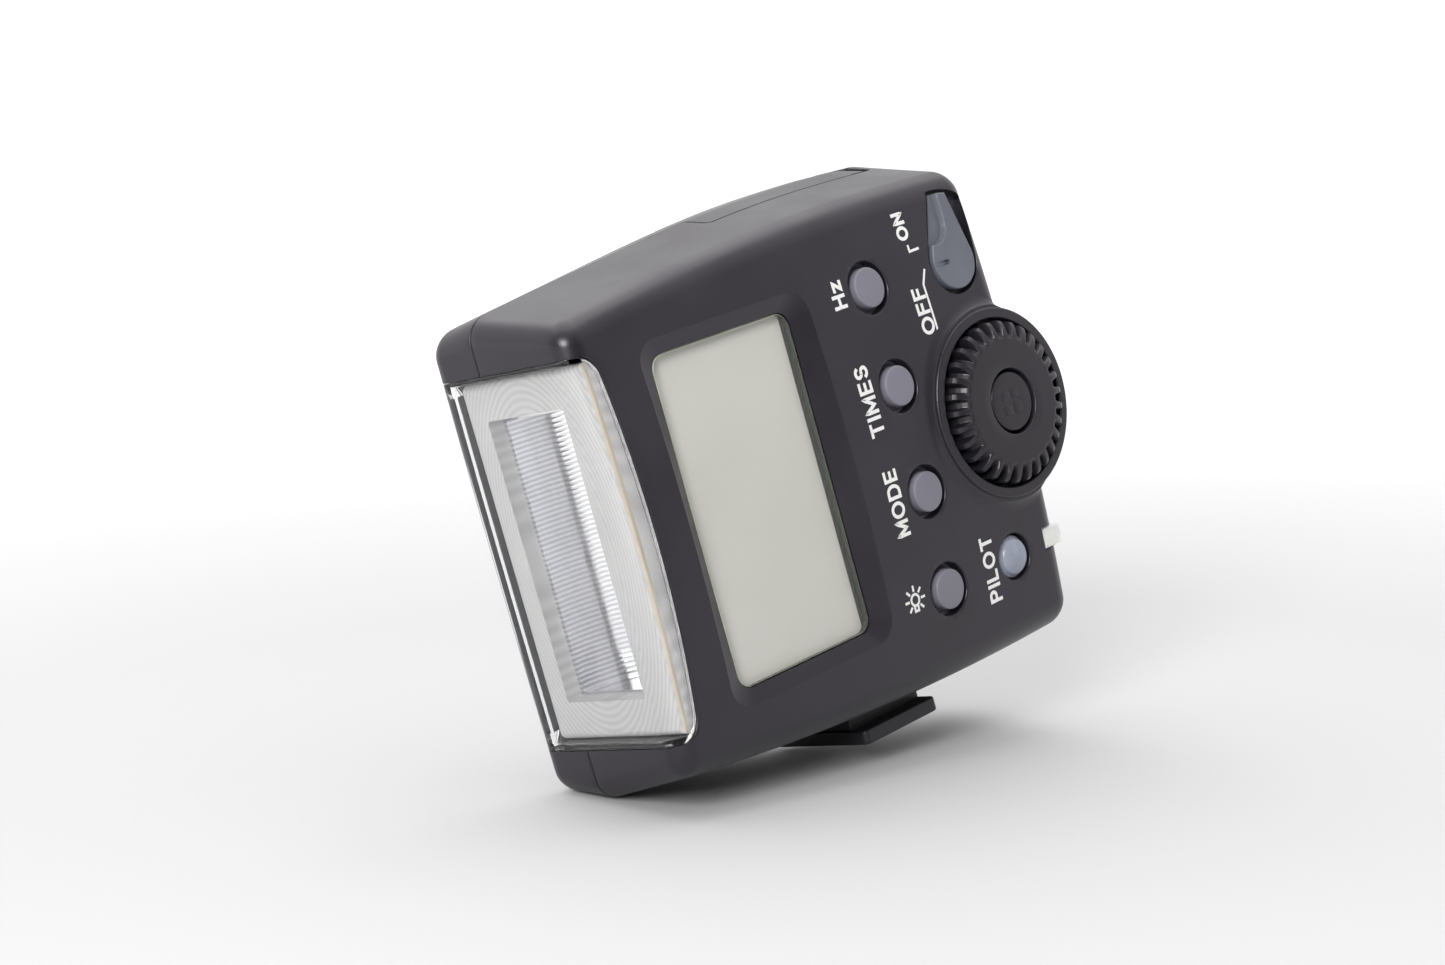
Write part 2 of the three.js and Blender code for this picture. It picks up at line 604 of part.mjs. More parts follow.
BUTTON_NAMES.forEach((name, i) => {
  add(name.replace('button', 'switch'), tactSwitch(BUTTON.y, BUTTON.z[i]), 'rubber');
});
add('pilot_switch', tactSwitch(PILOT.y, PILOT.z), 'rubber');
add('dial_encoder', cut(block([-8.6, -4.6], [-6, 4], [-6, 6]), rod(2.2, [-FAR, 0], 0, 0, 16)), 'rubber');
add('power_switch', cut(
  block([-8.6, -5.7], [-5.2, 3.2], [17.6, 24.2]),
  rod(1.9, [-FAR, 0], LEVER.y, LEVER.z - 0.45, 16),
), 'rubber');

add('main_board', block([-14.6, -13.6], [-56, -1], [-28, 28]), 'board');
add('board_connector', block([-13.3, -10.1], [-45, -33], [-3, 3]), 'white');
add('flash_capacitor', post(5.7, [-25, 11], -20.8, -41, 20), 'sleeve');
add('step_up_transformer', block([-26.4, -15], [-48, -36], [13, 26]), 'white');
add('trigger_coil', block([-24, -15], [-27, -17], [-30, -19]), 'sleeve');

add('shoe_foot', shoeFoot(), 'shell');
contactSpots().forEach(([x, y, radius], i) => {
  const name = i === 0 ? 'centre_contact' : `data_contact_${i}`;
  add(name, post(radius, [FOOT.sole, FOOT.sole + 0.7], x, y, 16), 'brass');
});
SHOE_SCREWS.forEach((spot, i) => add(`shoe_screw_${i + 1}`, shoeScrew(spot), 'steel'));
SCREWS.forEach((spot, i) => add(`case_screw_${i + 1}`, caseScrew(spot), 'steel'));

export default flash;
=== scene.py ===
import math

import bmesh
import bpy
import numpy as np
from mathutils import Matrix, Vector


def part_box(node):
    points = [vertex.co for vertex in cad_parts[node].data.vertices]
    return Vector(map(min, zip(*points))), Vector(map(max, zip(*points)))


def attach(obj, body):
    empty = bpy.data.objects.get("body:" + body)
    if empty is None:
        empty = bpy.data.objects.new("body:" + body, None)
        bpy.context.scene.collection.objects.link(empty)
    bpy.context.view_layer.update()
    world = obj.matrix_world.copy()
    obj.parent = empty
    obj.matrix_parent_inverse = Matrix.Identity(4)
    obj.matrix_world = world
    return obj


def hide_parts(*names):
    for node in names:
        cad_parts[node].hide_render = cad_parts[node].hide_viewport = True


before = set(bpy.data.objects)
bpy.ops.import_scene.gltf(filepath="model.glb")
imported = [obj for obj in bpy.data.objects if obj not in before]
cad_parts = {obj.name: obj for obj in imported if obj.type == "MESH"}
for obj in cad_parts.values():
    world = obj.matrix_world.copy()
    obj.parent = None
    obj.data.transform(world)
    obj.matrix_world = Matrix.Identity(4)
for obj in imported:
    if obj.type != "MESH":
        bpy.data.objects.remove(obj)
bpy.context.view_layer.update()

# ---------------- the design's own frame
# Pieces are drawn in millimetres about the dial's axis, on the panel, as the CAD draws them.
MM = 0.001
SCREEN_DEPTH = 1.55
dial_low, dial_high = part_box("control_dial")
ORIGIN = (dial_low + dial_high) / 2
ORIGIN.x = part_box("screen_window")[1].x + SCREEN_DEPTH * MM


def from_frame(node):
    """A CAD node's box in the design's own frame, in millimetres."""
    low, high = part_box(node)
    return (low - ORIGIN) / MM, (high - ORIGIN) / MM


LENS_END = from_frame("rear_shell")[0].y
DIAL_END = 6.2
DEPTH = -from_frame("rear_shell")[0].x
SEAM = -19.3
HALF_WIDTH = 33.5
WIDEST_AT = -12
LENS_END_NARROWING = 4.2
SIDE_DRAFT = 0.155
REAR_DRAFT = 0.12
PANEL_CROWN_RADIUS = 284
REAR_CROWN_RADIUS = 1500
EDGE_RADIUS = 3.2
SEAM_EDGE = 0.25
SEAM_GAP = 0.16
SWELL = 1.0
SWELL_RISES = (-56, -14)
WALL = 1.8
LIP = 0.3
WELL_FLOOR = 1.4
FAR = 60

FOOT = {"x": -16.8, "y": -27.7, "sole": -38.4, "width": 18.6, "length": 15, "plate": 2, "neck": 12.4}
SHOE_BED = -34.4
LENS = {"half": 25.2, "wrap": 5, "corner": 3.2, "bow": 0.9}
LENS_WALL = 1.3
LENS_GAP = 0.12
TUBE_RADIUS = 1.5
PANE = {"y": (-59.7, -34.5), "z": 22.2, "corner": 2.2, "thickness": 1.2}
RECESS = {"y": (-62.1, -30.9), "z": 24.5, "corner": 3.4}
BUTTONS = {"rate_button": 21.55, "count_button": 7.55, "mode_button": -7.55, "light_button": -21.55}
BUTTON = {"y": -18.9, "hole": 3.7, "cap": 2.8, "proud": 0.35}
PILOT = {"y": -4.3, "z": -21.4, "hole": 3.3}
DIAL = {"bore": 12.05, "top": 2.57, "floor": -2.6, "flutes": 30, "boss": 13.5, "boss_top": 0.75}
SELECT = {"hole": 4.66, "cap": 4.35, "top": 2.3}
LEVER = {"y": -1, "z": 21.3, "disc": 4.15, "tip": 9.65, "spread": 8, "lean": 5.8, "swing": 24,
         "floor": -1.8, "top": 0.25}
DOOR = {"x": (-26.6, -14.7), "y": (-31.4, 2.0), "nose": 3.5}
DOORWAY = (0.18, 0.35)  # the gap round the door, and the flare of the rim
DOOR_RIB = ((-25, -18.4), (-27.2, -8.8), (32.6, 35.6))
GUIDE_NOTCH = ((-4.3, 3), (2.4, 12), (-22.6, -19.3))
PIN = {"y": -1.9, "z": 34.1}
# The screws' places on the rear face, and each word's middle, length and height, as (y, z).
SCREWS = [(-61, 27.2), (-61, -27.2), (2, 28.4), (2, -28.4)]
PRINT = {"line": 0.5, "fine": 0.36, "lamp": (-25.9, -20.9)}
WORDS = [("Hz", (-25.0, 21.9), 3.9, 2.5), ("TIMES", (-25.2, 7.0), 9.9, 2.7),
         ("MODE", (-25.2, -7.45), 9.4, 2.65), ("PILOT", (-9.8, -21.6), 9.5, 2.6),
         ("ON", (-9.2, 28.0), 4.0, 2.3), ("OFF", (-9.9, 15.95), 6.7, 2.6)]


# ---------------- meshes
def added(name, data):
    """A new object in the scene, holding a mesh, a lamp or a camera."""
    thing = bpy.data.objects.new(name, data)
    bpy.context.scene.collection.objects.link(thing)
    return thing


def raw(points, faces):
    """A closed mesh in millimetres, its faces turned outwards."""
    mesh = bpy.data.meshes.new("shape")
    mesh.from_pydata([tuple(map(float, p)) for p in points], [], faces)
    work = bmesh.new()
    work.from_mesh(mesh)
    bmesh.ops.recalc_face_normals(work, faces=work.faces)
    work.to_mesh(mesh)
    work.free()
    return added("shape", mesh)


def loft(rings):
    """A closed solid through rings of the same number of points, with flat ends."""
    count = len(rings[0])
    faces = []
    for i in range(len(rings) - 1):
        for j in range(count):
            k = (j + 1) % count
            faces.append((i * count + j, i * count + k, (i + 1) * count + k, (i + 1) * count + j))
    last = (len(rings) - 1) * count
    faces.append(tuple(range(count)))
    faces.append(tuple(range(last, last + count)))
    return raw(np.concatenate(rings), faces)


def circle(x, radius, y=0.0, z=0.0, sides=72):
    """A ring of points about an axis along X. x and radius can be one number, or one for each point."""
    angles = np.linspace(0, 2 * math.pi, sides, endpoint=False)
    flat = np.column_stack([y + radius * np.cos(angles), z + radius * np.sin(angles)])
    return at_x(flat, x)


def turned(profile, y=0.0, z=0.0, sides=72):
    """A solid of revolution about an axis along X, from (radius, x) points."""
    return loft([circle(x, radius, y, z, sides) for radius, x in profile])


def upright(profile, x, y, sides=32):
    """The same, about an upright axis, from (radius, z) points."""
    return loft([circle(z, radius, x, y, sides)[:, [1, 2, 0]] for radius, z in profile])


def block(x, y, z):
    """A plain box, for cutting with."""
    rings = [np.array([(level, y[0], z[0]), (level, y[1], z[0]), (level, y[1], z[1]), (level, y[0], z[1])])
             for level in x]
    return loft(rings)


def combine(target, tool, how):
    """Cuts, joins or meets two closed meshes, and keeps the result in the first."""
    step = target.modifiers.new("step", "BOOLEAN")
    step.operation = how
    step.solver = "MANIFOLD"
    step.object = tool
    graph = bpy.context.evaluated_depsgraph_get()
    result = bpy.data.meshes.new_from_object(target.evaluated_get(graph))
    target.modifiers.clear()
    target.data = result
    bpy.data.objects.remove(tool)
    return target


def cut(target, *tools):
    for tool in tools:
        combine(target, tool, "DIFFERENCE")
    return target


def join(target, *tools):
    for tool in tools:
        combine(target, tool, "UNION")
    return target


def meet(target, tool):
    return combine(target, tool, "INTERSECT")


def gathered(pieces):
    """Several separate shapes as one mesh."""
    work = bmesh.new()
    for piece in pieces:
        work.from_mesh(piece.data)
        bpy.data.objects.remove(piece)
    mesh = bpy.data.meshes.new("gathered")
    work.to_mesh(mesh)
    work.free()
    return added("gathered", mesh)


def arc(start, end, steps):
    return [math.radians(start + (end - start) * i / steps) for i in range(steps + 1)]


def rounding(steps):
    """(1 - cos, 1 - sin) over a quarter turn: what a rounded edge loses, from its side to its top."""
    return [(1 - math.cos(a), 1 - math.sin(a)) for a in arc(0, 90, steps)]


def smooth(value, low, high):
    """Rises from 0 at low to 1 at high, level at both ends."""
    t = np.clip((np.asarray(value) - low) / (high - low), 0, 1)
    return t * t * (3 - 2 * t)


def bend(centre, radius, start, end, steps):
    """The points of an arc between two angles in degrees."""
    u, v = centre
    return [(u + radius * math.cos(a), v + radius * math.sin(a)) for a in arc(start, end, steps)]


def outline_rectangle(y, z, radius, steps):
    """A rounded rectangle as (y, z) points."""
    corners = [(y[1] - radius, z[0] + radius, -90), (y[1] - radius, z[1] - radius, 0),
               (y[0] + radius, z[1] - radius, 90), (y[0] + radius, z[0] + radius, 180)]
    points = []
    for cy, cz, start in corners:
        points += bend((cy, cz), radius, start, start + 90, steps)
    return np.array(points)


def at_x(outline, x):
    """Lifts a (y, z) outline to 3-D. x is one number, or one for each point."""
    return np.column_stack([np.broadcast_to(x, len(outline)), outline])


# ---------------- the body's outer form
def crown_drop(z):
    return np.asarray(z) ** 2 / (2 * PANEL_CROWN_RADIUS)


def rear_rise(z):
    return np.asarray(z) ** 2 / (2 * REAR_CROWN_RADIUS)


def half_width(x, y):
    lens_distance = (y - WIDEST_AT) / (LENS_END - WIDEST_AT)
    at_panel = HALF_WIDTH - LENS_END_NARROWING * lens_distance ** 2
    towards_lens = np.clip(-np.asarray(y) / 60, 0, 1)
    return at_panel - SIDE_DRAFT * np.maximum(x, SEAM) - REAR_DRAFT * towards_lens * np.maximum(SEAM - x, 0)


def door_side_swell(x, y):
    """How far the long side with the battery door bellies out beyond the other one."""
    return SWELL * smooth(y, *SWELL_RISES) * np.clip(np.asarray(x) / SEAM, 0, 1)


def edge_slopes(segments):
    """Places over half of a rounded edge, as fractions of its radius, from 1 towards 0."""
    return [math.tan(math.radians(45 * (segments - i) / segments)) for i in range(segments)]


def stations(low, high, radius, step, segments):
    """Coordinates across a rounded box: close together over its edges, even between them."""
    edge = [radius * (1 - s) for s in edge_slopes(segments)]
    count = max(2, math.ceil((high - low - 2 * radius) / step))
    middle = np.linspace(low + radius, high - radius, count + 1)
    return [low + d for d in edge] + list(middle) + [high - d for d in reversed(edge)]


def body_form(inset=0.0, cap=None, step=1.0, segments=6):
    """The rounded, crowned and tapered body, drawn in by inset. cap = (x, side) makes only the part
    on one side of x, +1 towards the panel, with a small rounding along that edge."""
    radius = EDGE_RADIUS - inset / 2
    low = np.array([-DEPTH + inset, LENS_END + inset, -HALF_WIDTH + inset])
    high = np.array([-inset, DIAL_END - inset, HALF_WIDTH - inset])
    ys = stations(low[1], high[1], radius, step, segments)
    zs = stations(low[2], high[2], radius, step, segments)
    core_low, core_high = low + radius, high - radius
    if cap is None:
        levels = [(x, 0.0) for x in stations(low[0], high[0], radius, step, segments)]
    else:
        cap_x, side = cap
        far = high[0] if side > 0 else low[0]
        start = far - side * radius
        count = max(2, math.ceil(abs(start - cap_x) / step))
        levels = [(cap_x + side * SEAM_EDGE * c, SEAM_EDGE * s) for c, s in rounding(4)[:-1]]
        levels += [(x, 0.0) for x in np.linspace(cap_x + side * SEAM_EDGE, start, count)]
        levels += [(far - side * radius * (1 - s), 0.0) for s in reversed(edge_slopes(segments))]
        open_end = core_low if side > 0 else core_high
        open_end[0] = -side * 1e3
    nx, ny, nz = len(levels) - 1, len(ys) - 1, len(zs) - 1
    index, points = {}, []

    def vertex(i, j, k):
        if (i, j, k) not in index:
            level, drawn_in = levels[i]
            p = np.array([level, ys[j], zs[k]])
            core = np.clip(p, core_low, core_high)
            out = p - core
            p = core + out * (radius / np.linalg.norm(out))
            if drawn_in:
                p[1:] -= drawn_in * out[1:] / np.linalg.norm(out[1:])
            across = max(p[2] / HALF_WIDTH, 0)
            p[2] *= half_width(p[0], p[1]) / HALF_WIDTH
            p[2] += door_side_swell(p[0], p[1]) * across ** 3
            to_panel = min(max(1 - p[0] / SEAM, 0), 1)
            to_rear = min(max((SEAM - p[0]) / (DEPTH + SEAM), 0), 1)
            p[0] += to_rear * rear_rise(p[2]) - to_panel * crown_drop(p[2])
            index[i, j, k] = len(points)
            points.append(p)
        return index[i, j, k]

    loop = [(j, 0) for j in range(ny)] + [(ny, k) for k in range(nz)]
    loop += [(j, nz) for j in range(ny, 0, -1)] + [(0, k) for k in range(nz, 0, -1)]
    faces = []
    for i in range(nx):
        for (j, k), (m, n) in zip(loop, loop[1:] + loop[:1]):
            faces.append((vertex(i, j, k), vertex(i, m, n), vertex(i + 1, m, n), vertex(i + 1, j, k)))
    for i in [nx] if cap else [0, nx]:
        for j in range(ny):
            for k in range(nz):
                corners = (j, k), (j + 1, k), (j + 1, k + 1), (j, k + 1)
                faces.append(tuple(vertex(i, *corner) for corner in corners))
    if cap:
        faces.append(tuple(vertex(0, j, k) for j, k in loop))
    return raw(points, faces)


def tilted(piece, y, z):
    """Moves a piece drawn about the origin to a place on the crowned panel, square to it."""
    turn = Matrix.Rotation(-math.asin(z / PANEL_CROWN_RADIUS), 4, "Y")
    piece.data.transform(Matrix.Translation((-float(crown_drop(z)), y, z)) @ turn)
    return piece


# ---------------- materials
RUBBED = 0.06


def feed(node, **inputs):
    """Sets a node's inputs, each to a plain value or from the output of another node."""
    for name, value in inputs.items():
        socket = node.inputs[name.replace("_", " ")]
        if isinstance(value, bpy.types.NodeSocket):
            node.id_data.links.new(value, socket)
        else:
            socket.default_value = value
    return node


def node_material(name):
    """A new material, with its node tree and its shader."""
    material = bpy.data.materials.new(name)
    material.use_nodes = True
    return material, material.node_tree, material.node_tree.nodes["Principled BSDF"]


def object_place(tree):
    return tree.nodes.new("ShaderNodeTexCoord").outputs["Object"]


def noise(tree, scale, detail=3.0, stretch=(1, 1, 1)):
    mapping = feed(tree.nodes.new("ShaderNodeMapping"), Scale=stretch, Vector=object_place(tree))
    texture = tree.nodes.new("ShaderNodeTexNoise")
    feed(texture, Scale=scale, Detail=detail, Vector=mapping.outputs["Vector"])
    return texture.outputs["Fac"]


def ranged(tree, value, low, high, from_low=0.3, from_high=0.7):
    remap = feed(tree.nodes.new("ShaderNodeMapRange"), Value=value, From_Min=from_low, From_Max=from_high,
                 To_Min=low, To_Max=high)
    return remap.outputs["Result"]


def two_tone(tree, value, first, second):
    """A colour between two, by a value from 0 to 1."""
    mix = tree.nodes.new("ShaderNodeMix")
    mix.data_type = "RGBA"
    feed(mix, Factor=value, A=(*first, 1), B=(*second, 1))
    return mix.outputs["Result"]


def mottled(tree, value, first, second):
    """The same, by a noise, whose middle range is spread out."""
    return two_tone(tree, ranged(tree, value, 0, 1), first, second)


def add_bump(tree, shader, height, strength, distance):
    bump = feed(tree.nodes.new("ShaderNodeBump"), Height=height, Strength=strength, Distance=distance)
    feed(shader, Normal=bump.outputs["Normal"])


def moulded(name, colour, roughness, grain=5200, grain_strength=0.25, spread=0.25, specular=0.5):
    """Moulded plastic: a fine spark-eroded grain, patches that hands have polished, and a little
    unevenness in the colour."""
    material, tree, shader = node_material(name)
    patches = noise(tree, 70, 4)
    darker, lighter = [tuple(c * (1 + change) for c in colour) for change in (-spread, spread)]
    feed(shader, Base_Color=mottled(tree, patches, darker, lighter),
         Roughness=ranged(tree, patches, roughness - RUBBED, roughness + RUBBED),
         Specular_IOR_Level=specular, Specular_Tint=(1.0, 0.94, 1.0, 1.0))
    add_bump(tree, shader, noise(tree, grain, 2), grain_strength, 0.00004)
    return material


def metal(name, colour, roughness, stretch=(1, 1, 1)):
    material, tree, shader = node_material(name)
    streaks = noise(tree, 900, 3, stretch)
    dark = tuple(c * 0.82 for c in colour)
    feed(shader, Base_Color=mottled(tree, streaks, dark, colour), Metallic=1.0,
         Roughness=ranged(tree, streaks, roughness * 0.7, roughness * 1.4))
    add_bump(tree, shader, streaks, 0.1, 0.00003)
    return material


def white_with_painted_ring_shade():
    """White plastic seen under fine moulded rings that spread the light; their pattern is painted on it as
    rings of painted shade in its colour, with a bump along them.
    """
    material, tree, shader = node_material("light_box_white")
    squeeze = 0.5
    centre = (-0.0018, 0, ORIGIN.z * -squeeze)
    mapping = feed(tree.nodes.new("ShaderNodeMapping"), Location=centre, Scale=(1, 1, squeeze),
                   Vector=object_place(tree))
    rings = tree.nodes.new("ShaderNodeTexWave")
    rings.wave_type = "RINGS"
    rings.rings_direction = "Y"
    feed(rings, Scale=620, Vector=mapping.outputs["Vector"])
    wave = rings.outputs["Fac"]
    # Painted shade: the rings darken and lighten the colour.
    feed(shader, Base_Color=two_tone(tree, wave, (0.64, 0.635, 0.63), (0.78, 0.77, 0.755)),
         Roughness=ranged(tree, noise(tree, 400, 2), 0.35, 0.5))
    add_bump(tree, shader, wave, 0.25, 0.00005)
    return material


def metal_with_painted_facet_reflections():
    """The reflector's bright metal, with fine facets across it drawn as bands of painted reflection, lighter
    and darker in its colour, and a bump along them.
    """
    material, tree, shader = node_material("polished_reflector")
    facets = tree.nodes.new("ShaderNodeTexWave")
    facets.bands_direction = "Z"
    feed(facets, Scale=480, Distortion=0.6, Vector=object_place(tree))
    wave = facets.outputs["Fac"]
    # Painted reflection: the facet bands lighten and darken the colour.
    feed(shader, Base_Color=two_tone(tree, wave, (0.62, 0.62, 0.64), (0.95, 0.95, 0.97)), Metallic=1.0,
         Roughness=ranged(tree, noise(tree, 300, 2), 0.1, 0.2))
    add_bump(tree, shader, wave, 0.3, 0.00005)
    return material


def clear(name, colour, roughness, ior):
    material, tree, shader = node_material(name)
    haze = noise(tree, 260, 3)
    feed(shader, Base_Color=mottled(tree, haze, colour, (1, 1, 1)),
         Roughness=ranged(tree, haze, roughness * 0.5, roughness * 1.5), Transmission_Weight=1.0, IOR=ior)
    return material


SHELL = moulded("charcoal_shell", (0.0125, 0.0115, 0.0155), 0.36)
FOOT_BLACK = moulded("foot_black", (0.011, 0.0105, 0.0128), 0.36, specular=0.42)
DIAL_BLACK = moulded("dial_black", (0.0105, 0.0098, 0.0128), 0.4, grain_strength=0.15)
LEVER_GREY = moulded("lever_grey", (0.105, 0.113, 0.136), 0.4)
KEY_GREY = moulded("key_grey", (0.165, 0.163, 0.195), 0.5, grain_strength=0.15, spread=0.08)
PRINT_WHITE = moulded("print_white", (0.72, 0.72, 0.7), 0.55, grain=9000, spread=0.04)
BOX_WHITE = white_with_painted_ring_shade()
CREAM = moulded("cream_edging", (0.7, 0.63, 0.52), 0.4, spread=0.06)
INNER_BLACK = moulded("inner_black", (0.03, 0.03, 0.032), 0.6)
RUBBER = moulded("silicone", (0.03, 0.03, 0.03), 0.75)
STEEL = metal("plated_steel", (0.56, 0.56, 0.58), 0.28, (1, 1, 0.1))
SCREW_BLACK = metal("black_screw", (0.05, 0.05, 0.055), 0.35)
BRASS = metal("gold_contact", (0.83, 0.62, 0.3), 0.22)
MIRROR = metal_with_painted_facet_reflections()
BOARD = moulded("solder_mask", (0.02, 0.11, 0.05), 0.35, grain=1500)
SLEEVE = moulded("shrink_sleeve", (0.02, 0.05, 0.17), 0.3)
TAPE = moulded("winding_tape", (0.62, 0.5, 0.12), 0.45)
WRAP = metal("cell_wrap", (0.3, 0.33, 0.4), 0.3)
TUBE_GLASS = clear("tube_glass", (0.97, 0.98, 1), 0.02, 1.47)
LENS_CLEAR = clear("clear_lens", (0.97, 0.975, 0.98), 0.03, 1.4)


def milky(name, colour):
    """Translucent milky plastic."""
    material, tree, shader = node_material(name)
    cloud = noise(tree, 320, 2)
    dull = tuple(c * 0.85 for c in colour)
    feed(shader, Base_Color=mottled(tree, cloud, dull, colour), Roughness=ranged(tree, cloud, 0.18, 0.3),
         Subsurface_Weight=0.6, Subsurface_Radius=(0.002, 0.002, 0.003), Subsurface_Scale=1.0)
    return material


MILKY_BLUE = milky("milky_lamp", (0.27, 0.29, 0.35))
MILKY_WHITE = milky("milky_guide", (0.72, 0.72, 0.7))


def liquid_crystal():
    """The switched-off display: a faintly clouded warm grey."""
    material, tree, shader = node_material("liquid_crystal")
    feed(shader, Base_Color=mottled(tree, noise(tree, 40, 2), (0.455, 0.448, 0.41), (0.49, 0.482, 0.445)),
         Roughness=ranged(tree, noise(tree, 4000, 2), 0.5, 0.62))
    return material


def window_glass():
    material, tree, shader = node_material("window_glass")
    haze = noise(tree, 120, 2)
    feed(shader, Base_Color=mottled(tree, haze, (0.75, 0.76, 0.72), (0.82, 0.83, 0.8)),
         Roughness=ranged(tree, haze, 0.04, 0.08), Alpha=0.05)
    return material


# The window's bevel is a pale, bright green: a painted highlight along the window's edge.
WINDOW_RIM_HIGHLIGHT = moulded("window_rim_highlight", (0.5, 0.57, 0.42), 0.2, grain_strength=0.02)
LIQUID_CRYSTAL = liquid_crystal()
WINDOW_GLASS = window_glass()
WINDOW_EDGE = moulded("window_edge", (0.03, 0.035, 0.028), 0.12, grain_strength=0.02)


# ---------------- putting a piece in place
def place(piece, name, material, body="case", replaces=(), sharp=32):
    """Names a finished piece, gives it its look, and hands it to its body in metres."""
    piece.name = name
    piece.data.name = name
    piece.data.transform(Matrix.Translation(ORIGIN) @ Matrix.Scale(MM, 4))
    piece.data.materials.clear()
    for one in material if isinstance(material, list) else [material]:
        piece.data.materials.append(one)
    piece.data.shade_smooth()
    piece.data.set_sharp_from_angle(angle=math.radians(sharp))
    even = piece.modifiers.new("even_shading", "WEIGHTED_NORMAL")
    even.keep_sharp = True
    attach(piece, body)
    if replaces:
        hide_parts(*replaces)
    return piece


# ---------------- outlines that cut or bound
def lens_outline(grow):
    """The lens seen from the panel, open towards the lens end: two round corners and a bowed side."""
    half = LENS["half"] + grow
    straight = LENS_END + LENS["wrap"] + grow - LENS["bow"]
    corner = LENS["corner"]
    low, high = -half + corner, half - corner
    points = [(-120.0, -half)]
    points += bend((straight - corner, low), corner, -90, 0, 8)
    for t in np.linspace(0, 1, 25)[1:-1]:
        points.append((straight + 4 * t * (1 - t) * LENS["bow"], low + (high - low) * t))
    points += bend((straight - corner, high), corner, 0, 90, 8)
    points.append((-120.0, half))
    return np.array(points)


def through_body(outline, lip, lip_grow, start=0.0):
    """A solid through the whole depth, whose outline widens (or narrows) as it meets the panel and
    the rear face. outline(grow) gives its points."""
    flare = [(lip * s, lip_grow * c) for c, s in rounding(5)]
    widest = outline(start + lip_grow)
    rings = [at_x(widest, -DEPTH - 4)]
    for depth, grow in reversed(flare):
        flat = outline(start + grow)
        rings.append(at_x(flat, -DEPTH + rear_rise(flat[:, 1]) + depth))
    for depth, grow in flare:
        flat = outline(start + grow)
        rings.append(at_x(flat, -crown_drop(flat[:, 1]) - depth))
    rings.append(at_x(widest, 5))
    return loft(rings)


def hole_tool(radius, bottom, lip=LIP, rim=0.0):
    """Cuts a round hole whose rim at height rim is rounded."""
    edge = [(radius + lip * c, rim - lip * s) for c, s in rounding(5)]
    return turned([(radius, bottom)] + edge + [(radius + lip, 6)])


def lever_outline(disc, tip, from_angle, to_angle, grow=0.0):
    """A round disc with a pointer, or with the sector that it sweeps, about the lever's own axis."""
    round_part = [(disc + grow, a) for a in np.linspace(to_angle + 62, from_angle + 298, 40)]
    pointer = [(tip + grow, a) for a in np.linspace(from_angle - grow * 3, to_angle + grow, 12)]
    turns = [(r, math.radians(a)) for r, a in round_part + pointer]
    return np.array([(r * math.sin(a), r * math.cos(a)) for r, a in turns])


def pane_outline(inset, radius):
    """The screen window's outline, drawn in by inset."""
    low, high = PANE["y"]
    return outline_rectangle((low + inset, high - inset), (-PANE["z"] + inset, PANE["z"] - inset), radius, 10)


def screen_recess():
    """The dished opening round the screen: it slopes from the pane up to the crowned panel."""
    outer = outline_rectangle(RECESS["y"], (-RECESS["z"], RECESS["z"]), RECESS["corner"], 10)
    outlines = outer, pane_outline(-0.15, PANE["corner"]), pane_outline(1.05, 1.4)
    outer, inner, window = [subdivide_sides(outline) for outline in outlines]
    floor = -SCREEN_DEPTH - PANE["thickness"] - 0.3
    rings = [at_x(window, -9), at_x(window, floor), at_x(inner, floor), at_x(inner, -SCREEN_DEPTH)]
    for t, rise in [(0.9, 0.885), (0.94, 0.93), (0.97, 0.968), (0.99, 0.99), (1.0, 0.998)]:
        flat = inner + (outer - inner) * t
        lip = -crown_drop(flat[:, 1])
        rings.append(at_x(flat, -SCREEN_DEPTH + (lip + SCREEN_DEPTH) * rise))
    rings.append(at_x(outer, 5))
    return loft(rings)


def subdivide_sides(outline, parts=24):
    """Adds points along the four long sides of a rounded rectangle made by outline_rectangle."""
    count = len(outline) // 4
    points = []
    for side in range(4):
        corner = outline[side * count:(side + 1) * count]
        points.extend(corner)
        after = outline[(side + 1) * count % len(outline)]
        for i in range(1, parts):
            points.append(corner[-1] + (after - corner[-1]) * i / parts)
    return np.array(points)


def door_tool(grow, flare):
    """The doorway over the cells, cut down through the long side. It widens as it meets the surface,
    or narrows where flare is below 0."""
    lip = abs(flare)
    steps = [(6.0, 0.0)] + [(lip * s, flare * c) for c, s in rounding(4)] + [(-6.0, flare)]
    rings = []
    for depth, wide in steps:
        x, y = [(DOOR[axis][0] - grow - wide, DOOR[axis][1] + grow + wide) for axis in "xy"]
        flat = subdivide_sides(outline_rectangle(x, y, 0.9 + wide, 5), 20)
        z = half_width(flat[:, 0], flat[:, 1]) + door_side_swell(flat[:, 0], flat[:, 1]) - depth
        rings.append(np.column_stack([flat, z]))
    return loft(rings)


# ---------------- the shells
def cavity():
    inside = body_form(WALL, step=3, segments=3)
    return cut(inside, block((-FAR, FAR), (-48, FAR), (-FAR, SHOE_BED + 2)))


def boss():
    """The round housing that the dial sits in. It overhangs the dial end, and flows into it."""
    fillet = 3.0
    cy = DIAL_END - 0.02 + fillet

    def outline(shrink):
        radius = DIAL["boss"] - shrink
        cz = math.sqrt(max((radius + fillet) ** 2 - cy ** 2, 0.01))
        hit = math.degrees(math.atan2(cz, cy))
        points = bend((0, 0), radius, -hit, hit, 48)
        points += bend((cy, cz), fillet, 180 + hit, 180, 10)[1:]
        points += [(-3.0, cz + 0.5), (-3.0, -cz - 0.5)]
        points += bend((cy, -cz), fillet, 180, 180 - hit, 10)[:-1]
        return np.array(points)

    rings = []
    for t in np.linspace(0, 1, 9):
        shrink = 6.4 * (1 - math.cos(math.radians(90 * (1 - t))))
        rings.append(at_x(outline(shrink), -10.5 + 6.0 * t))
    rings.append(at_x(outline(0), -3.4))
    return loft(rings)


